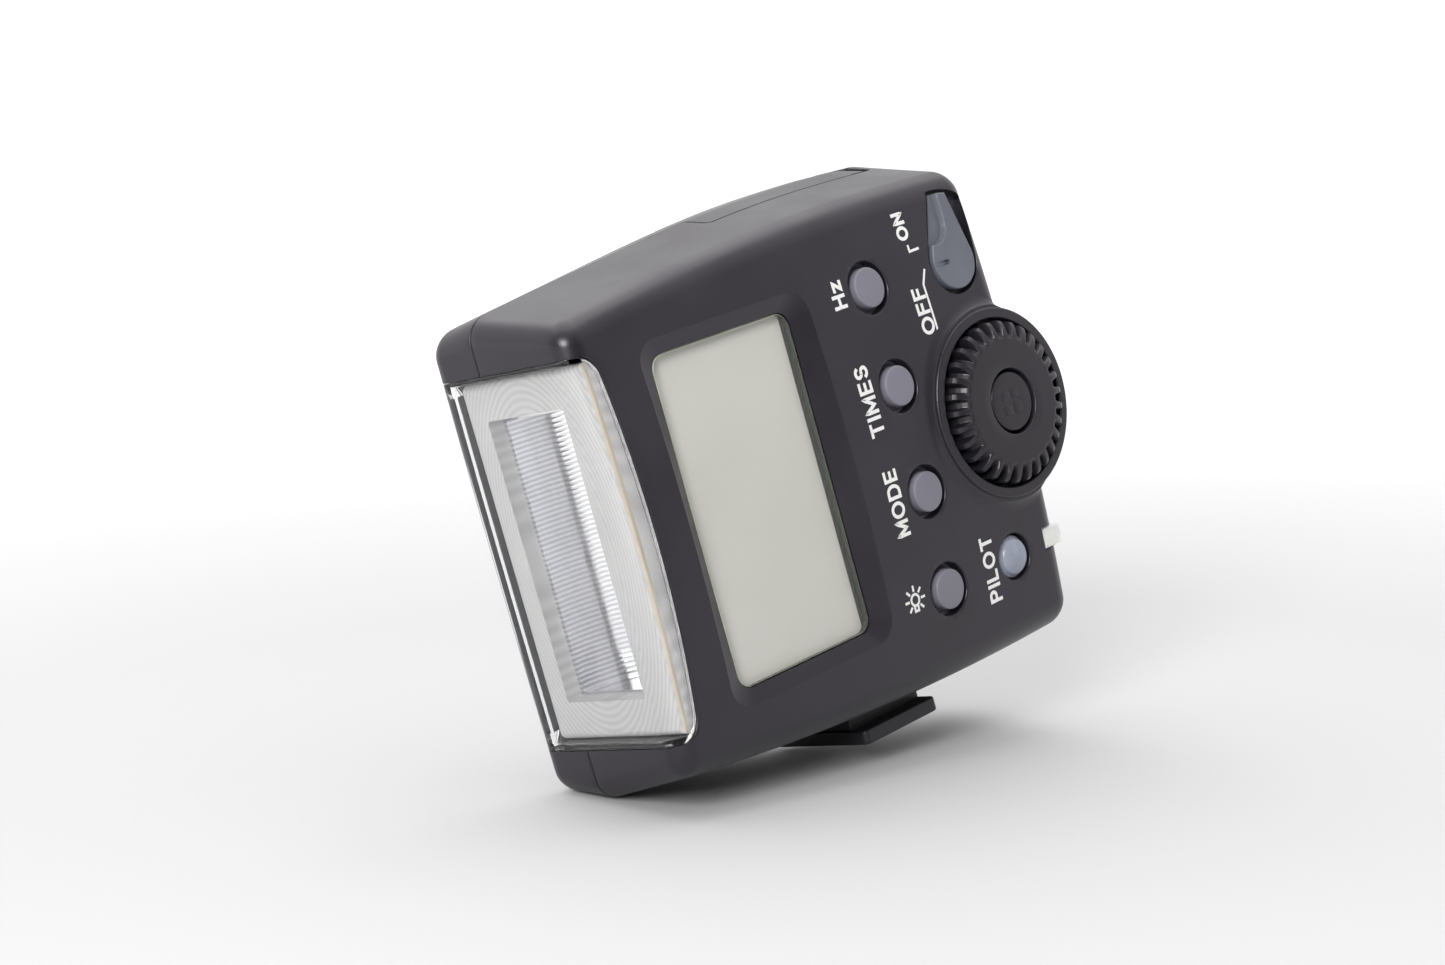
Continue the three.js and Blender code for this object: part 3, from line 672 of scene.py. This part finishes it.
def boss_rim():
    """The raised ring round the dial's bore, with a concave flare down to the panel. Over the dial
    end the flare draws in to the boss."""
    top, radius = DIAL["boss_top"], DIAL["boss"]
    base, core, edge, flare = -4.2, 8.0, 0.35, 2.1

    def ring(x, radius):
        return circle(x, radius, sides=160)

    rings = [ring(base, core), ring(base, radius)]
    slope = [(radius + flare - flare * math.cos(a), flare * (1 - math.sin(a))) for a in arc(90, 41, 8)]
    for reach, height in [(radius + flare, -0.25)] + slope:
        y = ring(0, reach)[:, 1]
        beyond = np.clip(y - (DIAL_END - EDGE_RADIUS), 0, EDGE_RADIUS)
        edge_drop = EDGE_RADIUS - np.sqrt(np.maximum(EDGE_RADIUS ** 2 - beyond ** 2, 0))
        pull = smooth(y, 2.5, DIAL_END)
        drawn_in = ring(0, reach + (radius - reach) * pull)
        x = height - crown_drop(drawn_in[:, 2]) * (1 - pull) - edge_drop * (1 - pull)
        x = np.minimum(x, top - edge)
        if height < 0:
            x = np.where(pull > 0.6, -3.3, x)
        rings.append(at_x(drawn_in[:, 1:], x))
    rings += [ring(top - edge * s, radius + 0.1 - edge * c) for c, s in rounding(4)]
    rings.append(ring(top, core))
    return loft(rings)


def shoe_gap():
    """The flat under the foot, cut across both shells."""
    return block((-FAR, -5), (FOOT["y"] - 12, FOOT["y"] + 12), (-FAR, SHOE_BED))


def lining(shape, inset):
    """Cuts a shape off a little below the body's surface."""
    return meet(shape, body_form(inset, step=4, segments=3))


def front_shell():
    shell = body_form(cap=(SEAM, 1))
    join(shell, boss(), boss_rim())
    cut(shell, cavity())
    far_z = RECESS["z"] + 1.5
    screen_bed = block((-4.9, -1), (RECESS["y"][0] - 1, RECESS["y"][1] + 1), (-far_z, far_z))
    join(shell, lining(screen_bed, 0.3))
    well = DIAL["boss"] - 0.8
    join(shell, turned([(well, DIAL["floor"] - WELL_FLOOR), (well, -1)]))
    lever_bed = block((LEVER["floor"] - WELL_FLOOR, -0.8), (-7, 5.5), (-7, 10.5))
    join(shell, lining(tilted(lever_bed, LEVER["y"], LEVER["z"]), 0.4))
    cut(shell, through_body(lens_outline, LIP, LIP, LENS_GAP))
    cut(shell, screen_recess())
    cut(shell, hole_tool(DIAL["bore"], DIAL["floor"], 0.25, DIAL["boss_top"]))
    for z in BUTTONS.values():
        cut(shell, tilted(hole_tool(BUTTON["hole"], -6), BUTTON["y"], z))
    cut(shell, tilted(hole_tool(PILOT["hole"], -6), PILOT["y"], PILOT["z"]))
    cut(shell, tilted(lever_recess(), LEVER["y"], LEVER["z"]))
    cut(shell, block(*GUIDE_NOTCH))
    cut(shell, door_tool(*DOORWAY), shoe_gap())
    return place(shell, "front_case", SHELL, replaces=["front_shell"])


def lever_recess():
    """The pocket that the lever sweeps, with a rounded rim."""
    first = LEVER["lean"] - 11
    last = LEVER["lean"] + LEVER["swing"] + LEVER["spread"] + 1.4
    levels = [(LEVER["floor"], 0.0)] + [(-LIP * s, LIP * c) for c, s in rounding(4)] + [(6, LIP)]
    disc, tip = LEVER["disc"] + 0.65, LEVER["tip"] + 0.6
    return loft([at_x(lever_outline(disc, tip, first, last, grow), x) for x, grow in levels])


def rear_shell():
    shell = body_form(cap=(SEAM - SEAM_GAP, -1))
    cut(shell, cavity())
    for y, z in SCREWS:
        post = turned([(2.6, -DEPTH + 1.0), (2.6, SEAM - 0.4)], y, z, 32)
        join(shell, lining(post, 0.4))
        rim = -DEPTH + float(rear_rise(z))
        well = [(2.35, rim - 3), (2.35, rim)] + bend((2.1, rim), 0.25, 0, 90, 4) + [(2.1, rim + 2.2)]
        cut(shell, turned(well, y, z, 48))
    cut(shell, through_body(lens_outline, LIP, LIP, LENS_GAP))
    cut(shell, door_tool(*DOORWAY), shoe_gap())
    return place(shell, "rear_case", SHELL, replaces=["rear_shell"])


def battery_door():
    """The door's skin, ending in a round nose about the hinge, and the rib that stiffens it."""
    door = meet(body_form(), door_tool(0, -LIP))
    cut(door, body_form(1.5, step=4, segments=3))
    cut(door, block((-FAR, 0), (PIN["y"], FAR), (20, FAR)))
    ends = [(DOOR["nose"], DOOR["x"][0] + 0.9), (DOOR["nose"], DOOR["x"][1] - 0.3)]
    nose = turned(ends, PIN["y"], PIN["z"], 48)
    join(door, meet(nose, body_form(0.02, step=2)))
    join(door, block(*DOOR_RIB))
    return place(door, "battery_hatch", SHELL, "battery_door", ["battery_door"])


# ---------------- the lens end
def lens_cover():
    cover = meet(body_form(), through_body(lens_outline, 0.25, -0.25))
    hollow = body_form(LENS_WALL, step=2, segments=4)
    meet(hollow, block((-FAR, FAR), (-120, FAR), (-LENS["half"] + 0.7, LENS["half"] - 0.7)))
    cut(cover, hollow)
    return place(cover, "lens_window", LENS_CLEAR, replaces=["lens_cover"])


def light_box():
    """The white box behind the lens, its cream edging, and the dark wall behind it."""
    low, high = from_frame("lens_frame")
    box = body_form(LENS_WALL + 0.25, step=1.5, segments=4)
    meet(box, rounded_block((low.x - 0.5, low.y - 0.9, low.z - 1.25), (FAR, high.y, high.z + 1.25), 1.0))
    middle = from_frame("flash_tube")[0].x + TUBE_RADIUS
    cut(box, rounded_block((middle - 8, low.y - 8, -19.2), (middle + 7.6, high.y + 3, 19.2), 0.5))
    place(box, "light_box", BOX_WHITE, replaces=["lens_frame"])
    section = np.array([(-0.5, -0.28), (0.05, 0.1), (0.05, 0.5), (-0.5, 0.5)])
    rings = []
    for z in np.linspace(low.z - 0.9, high.z + 0.9, 40):
        corner = (-1.62 - float(crown_drop(z)), low.y - 0.55)
        rings.append(np.column_stack([section + corner, np.full(4, z)]))
    place(loft(rings), "light_box_edging", CREAM)
    start = (-DEPTH + LENS_WALL + 0.15, LENS_END + LENS_WALL + 0.4, low.z)
    strip = rounded_block(start, (low.x - 0.7, high.y, high.z), 0.3)
    return place(strip, "rear_backing", INNER_BLACK)


def rounded_block(low, high, radius, step=3.0, segments=3):
    """A box with rounded edges and corners."""
    low, high = np.array(low, float), np.array(high, float)
    lines = [stations(low[i], high[i], radius, step, segments) for i in range(3)]
    count = [len(line) - 1 for line in lines]
    index, points, faces = {}, [], []

    def vertex(*key):
        if key not in index:
            p = np.array([lines[axis][key[axis]] for axis in range(3)])
            core = np.clip(p, low + radius, high - radius)
            out = p - core
            p = core + out * (radius / np.linalg.norm(out))
            index[key] = len(points)
            points.append(p)
        return index[key]

    for axis in range(3):
        u, v = (axis + 1) % 3, (axis + 2) % 3
        for end in (0, count[axis]):
            for i in range(count[u]):
                for j in range(count[v]):
                    quad = []
                    for a, b in ((i, j), (i + 1, j), (i + 1, j + 1), (i, j + 1)):
                        key = [0, 0, 0]
                        key[axis], key[u], key[v] = end, a, b
                        quad.append(vertex(*key))
                    faces.append(tuple(quad))
    return raw(points, faces)


def reflector():
    """A polished trough with end plates."""
    low, high = from_frame("reflector")
    middle, half = (low.x + high.x) / 2, (high.x - low.x) / 2
    depth = high.y - low.y

    def trough(grow, shift):
        curve = [(middle + (half + grow) * math.cos(a), low.y + shift + (depth + grow) * math.sin(a) ** 0.8)
                 for a in arc(0.001, 179.999, 40)]
        return loft([np.array([(x, y, z) for x, y in curve]) for z in (low.z - grow, high.z + grow)])

    body = trough(0, 0)
    cut(body, trough(-0.6, -0.4))
    return place(body, "reflector_trough", MIRROR, replaces=["reflector"])


def flash_tube():
    low, high = from_frame("flash_tube")
    x, y = (low.x + high.x) / 2, (low.y + high.y) / 2
    glass = upright([(TUBE_RADIUS, low.z), (TUBE_RADIUS, high.z)], x, y)
    place(glass, "xenon_tube", TUBE_GLASS, replaces=["flash_tube"])
    for name, node in (("tube_boot_top", "tube_boot_upper"), ("tube_boot_bottom", "tube_boot_lower")):
        low, high = from_frame(node)
        boot = upright([(2.5, low.z), (2.8, low.z + 0.3), (2.8, high.z - 0.3), (2.5, high.z)], x, y)
        place(boot, name, RUBBER, replaces=[node])


# ---------------- the screen
def screen():
    """The window, with a dark edge and a pale bevel round it, whose brightness is a painted highlight, and
    the display behind.
    """
    back = -SCREEN_DEPTH - PANE["thickness"]
    levels = [(0, back), (0, -SCREEN_DEPTH - 0.2), (0.08, -SCREEN_DEPTH - 0.08), (0.28, -SCREEN_DEPTH)]
    pane = loft([at_x(pane_outline(inset, PANE["corner"] - 0.2 - inset * 0.5), x) for inset, x in levels])
    looks = [WINDOW_GLASS, WINDOW_EDGE, WINDOW_RIM_HIGHLIGHT]
    place(pane, "window_pane", looks, replaces=["screen_window"])
    # The slanted bevel faces take the painted highlight, the flat faces the glass, the side faces the dark
    # edge.
    for face in pane.data.polygons:
        face.material_index = 0 if abs(face.normal.x) > 0.9 else 2 if abs(face.normal.x) > 0.2 else 1
    low, high = from_frame("screen_panel")
    panel = rounded_block((low.x, low.y - 0.3, low.z), (back - 0.05, high.y - 1.2, high.z), 0.2, 8, 2)
    place(panel, "display_cell", LIQUID_CRYSTAL, replaces=["screen_panel"])


# ---------------- the controls
def flange(hole, inner):
    """A button's stem, and the flange that keeps it in its hole, as (radius, x) points."""
    return [(inner, -5), (inner, -2.9), (hole + 0.7, -2.9), (hole + 0.7, -2.1)]


def button_cap(hole, radius, proud):
    edge = 0.25
    profile = flange(hole, 1.5) + [(hole - 0.35, -2.1), (radius + 0.04, -1.6), (radius + 0.02, -0.7)]
    profile += [(radius - edge * c, proud - edge * s) for c, s in rounding(5)]
    return turned(profile + [(radius * 0.5, proud + 0.02), (0.2, proud + 0.03)])


def buttons():
    """Four flat caps, and a domed one over the pilot lamp."""
    for name, z in BUTTONS.items():
        cap = tilted(button_cap(BUTTON["hole"], BUTTON["cap"], BUTTON["proud"]), BUTTON["y"], z)
        place(cap, name.replace("button", "key"), KEY_GREY, name, [name], 25)
    hole = PILOT["hole"]
    profile = flange(hole, 1.3) + [(hole - 0.3, -2.1), (hole - 0.3, -0.75), (hole - 0.45, -0.6)]
    profile += [(2.6 * math.cos(a), -0.35 + 1.15 * math.sin(a)) for a in arc(0, 88, 12)]
    dome = tilted(turned(profile), PILOT["y"], PILOT["z"])
    place(dome, "pilot_key", MILKY_BLUE, "pilot_button", ["pilot_button"])


RIDGE = [(8.9, 2.57), (9.5, 2.5), (10.3, 2.3), (11.0, 1.95), (11.45, 1.5), (11.6, 0.9), (11.6, -0.4),
         (11.6, -2.3)]
FLUTE = [(8.9, 2.57), (9.3, 2.25), (9.75, 1.6), (10.1, 0.85), (10.35, 0.05), (10.5, -0.8), (10.55, -1.6),
         (10.6, -2.3)]


def control_dial():
    """A cap with scooped flutes round its shoulder, and the button in its middle. RIDGE and FLUTE are
    the shoulder's (radius, x) section between two flutes and down the middle of one."""
    knots = np.arange(len(RIDGE))
    fine = np.linspace(0, knots[-1], 29)
    ridge, flute = [[np.interp(fine, knots, values) for values in zip(*c)] for c in (RIDGE, FLUTE)]
    sides = DIAL["flutes"] * 20
    angles = np.linspace(0, 2 * math.pi, sides, endpoint=False)
    scoop = smooth(0.5 + 0.5 * np.cos(angles * DIAL["flutes"]), 0.22, 0.72)
    hole, top, base = SELECT["hole"], DIAL["top"], -2.3
    levels = [(1.2, -1.4), (hole, -1.4)] + [(hole + 0.25 * c, top - 0.25 * s) for c, s in rounding(4)]
    levels += [(6.4, top), (8.6, top)]
    levels += [(r0 + (r1 - r0) * scoop, x0 + (x1 - x0) * scoop) for r0, x0, r1, x1 in zip(*ridge, *flute)]
    levels += [(9.0, base), (1.2, base)]
    dial = loft([circle(x, radius, sides=sides) for radius, x in levels])
    place(dial, "thumb_dial", DIAL_BLACK, "control_dial", ["control_dial"], 40)
    top, cap, edge = SELECT["top"], SELECT["cap"] - 0.12, 0.35
    profile = [(0.8, -7.4), (0.8, -0.4), (cap, -0.4)]
    profile += [(cap - edge * c, top - edge * s) for c, s in rounding(5)]
    button = turned(profile + [(2.2, top - 0.05), (0.2, top - 0.06)])
    squares = [(y, z) for y in (-1.9, 0.25) for z in (-1.8, 0.3)]
    for y, z in squares:
        join(button, rounded_block((top - 0.3, y, z), (top + 0.06, y + 1.6, z + 1.5), 0.14, 1, 2))
    place(button, "select_key", DIAL_BLACK, "select_button", ["select_button"], 30)


def power_lever():
    """A disc with a raised pointer and a scooped thumb face beside it."""
    first, last = LEVER["lean"] - LEVER["spread"], LEVER["lean"] + LEVER["spread"]
    top, edge = LEVER["top"], 0.25
    levels = [(LEVER["floor"] + 0.3, 0.0)] + [(top - edge * s, -edge * c) for c, s in rounding(4)]
    disc, tip = LEVER["disc"], LEVER["tip"]
    lever = loft([at_x(lever_outline(disc, tip, first, last, grow), x) for x, grow in levels])
    join(lever, turned([(1.35, -6.6), (1.35, -1)], sides=32))
    scoop = scoop_tool(top)
    scoop.data.transform(Matrix.Rotation(-math.radians(LEVER["lean"]), 4, "X"))
    cut(lever, scoop, index_groove(top))
    tilted(lever, LEVER["y"], LEVER["z"])
    place(lever, "on_off_lever", LEVER_GREY, "power_lever", ["power_lever"], 28)


def scoop_tool(top):
    """The hollow for the thumb, on the side of the pointer that faces the lens. Its floor slopes away."""
    wall = [(-9.0, 2.35), (-2.9, 2.45)] + bend((-2.9, 5.15), 2.7, -90, 0, 10)
    wall += [(-0.2 - 0.25 * t, 5.15 + 6 * t) for t in np.linspace(0.1, 1, 5)] + [(-9.0, 11.2)]
    wall = np.array(wall)
    low = top - 0.8 + 0.1 * np.clip(wall[:, 0] + 0.2, -4, 0)
    inner = wall + np.where(wall[:, :1] > -3, [[-0.22, 0.12]], [[0, 0.2]])
    outer = wall + [[0.12, -0.12]]
    return loft([at_x(inner, low), at_x(wall, top - 0.12), at_x(outer, top), at_x(outer, 4)])


def index_groove(top):
    """The index groove in the disc, deeper at its inner end."""
    rings = []
    for s in np.linspace(0, 1, 10):
        y, depth = -3.6 + s * 2.6, 0.1 + 0.4 * s
        wide = 0.36 * math.sqrt(max(1 - max(s - 0.85, 0) / 0.15 * 0.9, 0.1))
        corners = [(top + 0.6, -wide), (top + 0.6, wide), (top - depth, wide), (top - depth, -wide)]
        rings.append(np.array([(x, y, z) for x, z in corners]))
    return loft(rings)


def light_guide():
    low, high = from_frame("pilot_light_guide")
    start, end = (low.x + 0.4, low.y, low.z + 0.45), (high.x - 0.1, high.y - 0.3, high.z - 0.45)
    guide = rounded_block(start, end, 0.25, 2, 3)
    place(guide, "guide_block", MILKY_WHITE, replaces=["pilot_light_guide"])


# ---------------- printed marks
def unit(vectors):
    return vectors / np.linalg.norm(vectors, axis=1, keepdims=True)


def stroke(points, width):
    """A printed line on the panel, as a very thin raised strip that follows the crown."""
    path = []
    points = [np.array(p, float) for p in points]
    for a, b in zip(points, points[1:]):
        parts = max(1, math.ceil(np.linalg.norm(b - a) / 0.4))
        path += [a + (b - a) * i / parts for i in range(parts)]
    path.append(points[-1])
    path = np.array(path)
    closed = np.allclose(path[0], path[-1])
    if closed:
        path = path[:-1]
    ahead = np.roll(path, -1, 0) - path
    behind = path - np.roll(path, 1, 0)
    if not closed:
        ahead[-1], behind[0] = behind[-1], ahead[0]
    ahead, behind = unit(ahead), unit(behind)
    middle = unit(ahead + behind)
    side = np.column_stack([-middle[:, 1], middle[:, 0]])
    mitre = np.clip(1 / np.maximum((middle * ahead).sum(1), 0.5), 1, 1.6)[:, None]
    if not closed:
        path[0] -= ahead[0] * width / 2
        path[-1] += ahead[-1] * width / 2
    left, right = path + side * mitre * width / 2, path - side * mitre * width / 2
    rings = []
    for a, b in zip(left, right):
        section = (a, -0.03), (a, 0.012), (b, 0.012), (b, -0.03)
        rings.append(np.array([(lift - float(crown_drop(z)), y, z) for (y, z), lift in section]))
    if not closed:
        return loft(rings)
    count = len(rings)
    faces = [(i * 4 + j, i * 4 + (j + 1) % 4, (i + 1) % count * 4 + (j + 1) % 4, (i + 1) % count * 4 + j)
             for i in range(count) for j in range(4)]
    return raw(np.concatenate(rings), faces)


CURVE = arc(0, 180, 12)
LETTERS = {
    "D": (0.8, [[(0, 0), (0, 1), (0.4, 1)]
                + [(0.4 + 0.4 * math.sin(a), 0.5 + 0.5 * math.cos(a)) for a in CURVE[1:]] + [(0, 0)]]),
    "E": (0.58, [[(0.58, 1), (0, 1), (0, 0), (0.58, 0)], [(0, 0.5), (0.52, 0.5)]]),
    "F": (0.56, [[(0.56, 1), (0, 1), (0, 0)], [(0, 0.52), (0.5, 0.52)]]),
    "H": (0.72, [[(0, 0), (0, 1)], [(0.72, 0), (0.72, 1)], [(0, 0.5), (0.72, 0.5)]]),
    "I": (0.0, [[(0, 0), (0, 1)]]),
    "L": (0.54, [[(0, 1), (0, 0), (0.54, 0)]]),
    "M": (0.9, [[(0, 0), (0, 1), (0.45, 0.12), (0.9, 1), (0.9, 0)]]),
    "N": (0.74, [[(0, 0), (0, 1), (0.74, 0), (0.74, 1)]]),
    "O": (0.92, [[(0.46 + 0.46 * math.sin(a), 0.5 + 0.5 * math.cos(a)) for a in arc(0, 360, 28)]]),
    "P": (0.62, [[(0, 0), (0, 1), (0.36, 1)]
                 + [(0.36 + 0.26 * math.sin(a), 0.73 + 0.27 * math.cos(a)) for a in CURVE[1:]]
                 + [(0, 0.46)]]),
    "S": (0.62, [[(0.31 + 0.28 * math.sin(a), 0.745 + 0.255 * math.cos(a)) for a in arc(62, -180, 12)]
                 + [(0.31 + 0.3 * math.sin(a), 0.25 + 0.25 * math.cos(a)) for a in arc(0, 245, 12)]]),
    "T": (0.66, [[(0, 1), (0.66, 1)], [(0.33, 1), (0.33, 0)]]),
    "z": (0.5, [[(0, 0.68), (0.5, 0.68), (0, 0), (0.5, 0)]]),
}


def words(text, centre, length, height, width):
    """The strokes of a plain word. It reads towards +Z, with the tops of its letters towards the lens."""
    gap = 0.4
    total = sum(LETTERS[c][0] for c in text) + gap * (len(text) - 1)
    across = (length - width) / total
    start, lines = -(length - width) / 2, []
    for c in text:
        wide, paths = LETTERS[c]
        for path in paths:
            lines.append([(centre[0] - (v - 0.5) * (height - width), centre[1] + start + u * across)
                          for u, v in path])
        start += (wide + gap) * across
    return lines


def printed_marks():
    """Plain function words and a lamp sign beside the controls, and the two lines by the lever."""
    strokes = [path for word in WORDS for path in words(*word, PRINT["line"])]
    y, z = PRINT["lamp"]
    fine = [[(y + 0.78 * math.sin(a), z + 0.78 * math.cos(a)) for a in arc(0, 360, 28)]]
    fine.append([(y - 0.35, z - 0.8), (y - 0.35, z - 1.55), (y + 0.35, z - 1.55), (y + 0.35, z - 0.8)])
    for a in arc(-135, 135, 6):
        fine.append([(y + r * math.sin(a), z + r * math.cos(a)) for r in (1.35, 1.85)])
    fine.append([(-7.17, 24.41), (-8.95, 24.35), (-8.95, 25.1)])
    fine.append([(-7.3, 21.26), (-8.35, 19.43), (-8.3, 12.5)])
    shapes = [stroke(s, PRINT["line"]) for s in strokes] + [stroke(s, PRINT["fine"]) for s in fine]
    place(gathered(shapes), "printed_marks", PRINT_WHITE)


# ---------------- the foot and the fasteners
def shoe_foot():
    """The plate with its neck, and the contacts in their wells."""
    x, y = FOOT["x"], FOOT["y"]
    half_x, half_y, half_neck = FOOT["width"] / 2, FOOT["length"] / 2, FOOT["neck"] / 2
    sole, plate, edge = FOOT["sole"], FOOT["plate"], 0.25
    levels = [(edge * c, edge * s) for c, s in rounding(4)]
    levels += [(plate - edge * s, edge * c) for c, s in rounding(4)]
    rings = []
    for height, inset in levels:
        across = (x - half_x + inset, x + half_x - inset)
        flat = outline_rectangle(across, (y - half_y + inset, y + half_y - inset), 0.9, 6)
        rings.append(np.column_stack([flat, np.full(len(flat), sole + height)]))
    foot = loft(rings)
    start = (x - half_neck, y - half_y + 0.6, sole + 1)
    end = (x + half_neck, y + half_y - 0.2, SHOE_BED - 0.05)
    join(foot, rounded_block(start, end, 0.3, 4, 3))
    pins = []
    for node in ["centre_contact"] + [f"data_contact_{i}" for i in range(1, 5)]:
        low, high = from_frame(node)
        cx, cy, r = (low.x + high.x) / 2, (low.y + high.y) / 2, (high.x - low.x) / 2
        well = [(r + 0.35, sole - 1), (r + 0.3, sole + 0.02), (r + 0.15, sole + 0.25), (r + 0.15, sole + 0.9)]
        cut(foot, upright(well, cx, cy))
        pin = [(r * 0.1, low.z), (r * 0.6, low.z + 0.01), (r * 0.9, low.z + 0.1), (r, low.z + 0.25),
               (r, high.z)]
        pins.append((node, upright(pin, cx, cy)))
    place(foot, "hot_shoe_foot", FOOT_BLACK, replaces=["shoe_foot"])
    for node, pin in pins:
        place(pin, node.replace("contact", "pin"), BRASS, replaces=[node])


def case_screws():
    for i, (y, z) in enumerate(SCREWS, 1):
        low, high = from_frame(f"case_screw_{i}")
        head = low.x
        profile = [(1.2, head), (1.6, head + 0.08), (1.85, head + 0.4), (1.85, head + 0.9)]
        profile += [(0.85, head + 1.3), (0.85, high.x)]
        screw = turned(profile, y, z, 40)
        for turn in (20, 110):
            slot = block((head - 1, head + 0.75), (-1.05, 1.05), (-0.17, 0.17))
            slot.data.transform(Matrix.Translation((0, y, z)) @ Matrix.Rotation(math.radians(turn), 4, "X"))
            cut(screw, slot)
        place(screw, f"case_fastener_{i}", SCREW_BLACK, replaces=[f"case_screw_{i}"])


# ---------------- pieces kept from the CAD
KEPT = {
    "battery_tray": INNER_BLACK, "battery_cell": WRAP, "contact_spring": STEEL, "door_contact_plate": STEEL,
    "battery_door_pin": STEEL, "switch_board": BOARD, "main_board": BOARD, "board_connector": BOX_WHITE,
    "screen_backlight": BOX_WHITE, "flash_capacitor": SLEEVE, "trigger_coil": SLEEVE,
    "step_up_transformer": TAPE, "dial_encoder": INNER_BLACK, "shoe_screw": STEEL, "_switch": INNER_BLACK,
}


def dress_kept():
    for name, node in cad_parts.items():
        if node.hide_render:
            continue
        material = next((m for key, m in KEPT.items() if key in name), INNER_BLACK)
        node.data.materials.clear()
        node.data.materials.append(material)


# ---------------- stage
def camera():
    data = bpy.data.cameras.new("camera")
    data.sensor_width = 36
    data.lens = 67.56
    data.clip_start, data.clip_end = 0.01, 20
    eye = added("camera", data)
    up = Vector((0.089, 0.279, 0.956))
    back = Vector((0.74, -0.661, 0.124)).normalized()
    right = up.cross(back).normalized()
    up = back.cross(right).normalized()
    turn = Matrix((right, up, back)).transposed().to_4x4()
    eye.matrix_world = Matrix.Translation((0.2734, -0.2563, 0.0856)) @ turn
    bpy.context.scene.camera = eye


FLOOR_NORMAL = Vector((0.165, 0.19, 0.966)).normalized()


def floor_height():
    """How far along the floor's normal its plane lies, so that the object just rests on it."""
    lowest = 1.0
    for name in ("front_case", "rear_case", "hot_shoe_foot"):
        points = np.array([v.co for v in bpy.data.objects[name].data.vertices])
        lowest = min(lowest, float((points @ np.array(FLOOR_NORMAL)).min()))
    return lowest


def stage():
    """The floor, which glows more the further it is from the object, as the lit backdrop does."""
    size = 3.0
    mesh = bpy.data.meshes.new("floor")
    corners = [(-size, -size, 0), (size, -size, 0), (size, size, 0), (-size, size, 0)]
    mesh.from_pydata(corners, [], [(0, 1, 2, 3)])
    floor = added("floor", mesh)
    floor.matrix_world = (Matrix.Translation(FLOOR_NORMAL * (floor_height() - 0.0001))
                          @ FLOOR_NORMAL.to_track_quat("Z", "Y").to_matrix().to_4x4())
    material, tree, shader = node_material("white_floor")
    distance = tree.nodes.new("ShaderNodeVectorMath")
    distance.operation = "LENGTH"
    feed(distance, Vector=object_place(tree))
    feed(shader, Base_Color=two_tone(tree, noise(tree, 3, 1), (0.51, 0.51, 0.515), (0.54, 0.54, 0.54)),
         Roughness=0.8, Specular_IOR_Level=0.2, Emission_Color=(1, 1, 1, 1),
         Emission_Strength=ranged(tree, distance.outputs["Value"], 0, 0.85, 0.14, 1.1))
    mesh.materials.append(material)


def softbox(name, spot, target, size, power):
    data = bpy.data.lights.new(name, "AREA")
    data.shape = "RECTANGLE"
    data.size, data.size_y = size
    data.energy = power
    lamp = added(name, data)
    lamp.location = spot
    lamp.rotation_mode = "QUATERNION"
    lamp.rotation_quaternion = (Vector(target) - Vector(spot)).to_track_quat("-Z", "Y")


def studio_world():
    """White all round the far side and overhead, falling off towards the side the photographer is on."""
    world = bpy.data.worlds.new("studio")
    world.use_nodes = True
    tree = world.node_tree
    towards = tree.nodes.new("ShaderNodeVectorMath")
    towards.operation = "DOT_PRODUCT"
    towards.inputs[1].default_value = Vector((-0.62, 0.55, 0.42)).normalized()
    feed(towards, Vector=tree.nodes.new("ShaderNodeTexCoord").outputs["Generated"])
    pale = tree.nodes.new("ShaderNodeMath")
    pale.operation = "MAXIMUM"
    tree.links.new(ranged(tree, towards.outputs["Value"], 0.02, 1.12, -0.66, 0.36), pale.inputs[0])
    tree.links.new(tree.nodes.new("ShaderNodeLightPath").outputs["Is Camera Ray"], pale.inputs[1])
    feed(tree.nodes["Background"], Color=(1, 0.995, 1, 1), Strength=pale.outputs["Value"])
    bpy.context.scene.world = world


def lights():
    studio_world()
    middle = (0, -0.01, 0.04)
    softbox("overhead", (-0.25, 0.35, 1.3), middle, (1.6, 1.6), 12)
    softbox("camera_side", (0.62, -0.85, 0.6), middle, (0.45, 0.45), 14)
    bpy.context.scene.view_settings.view_transform = "Standard"


for make in (camera, front_shell, rear_shell, battery_door, lens_cover, light_box, reflector, flash_tube,
             screen, buttons, control_dial, power_lever, light_guide, printed_marks, shoe_foot, case_screws,
             dress_kept, stage, lights):
    make()
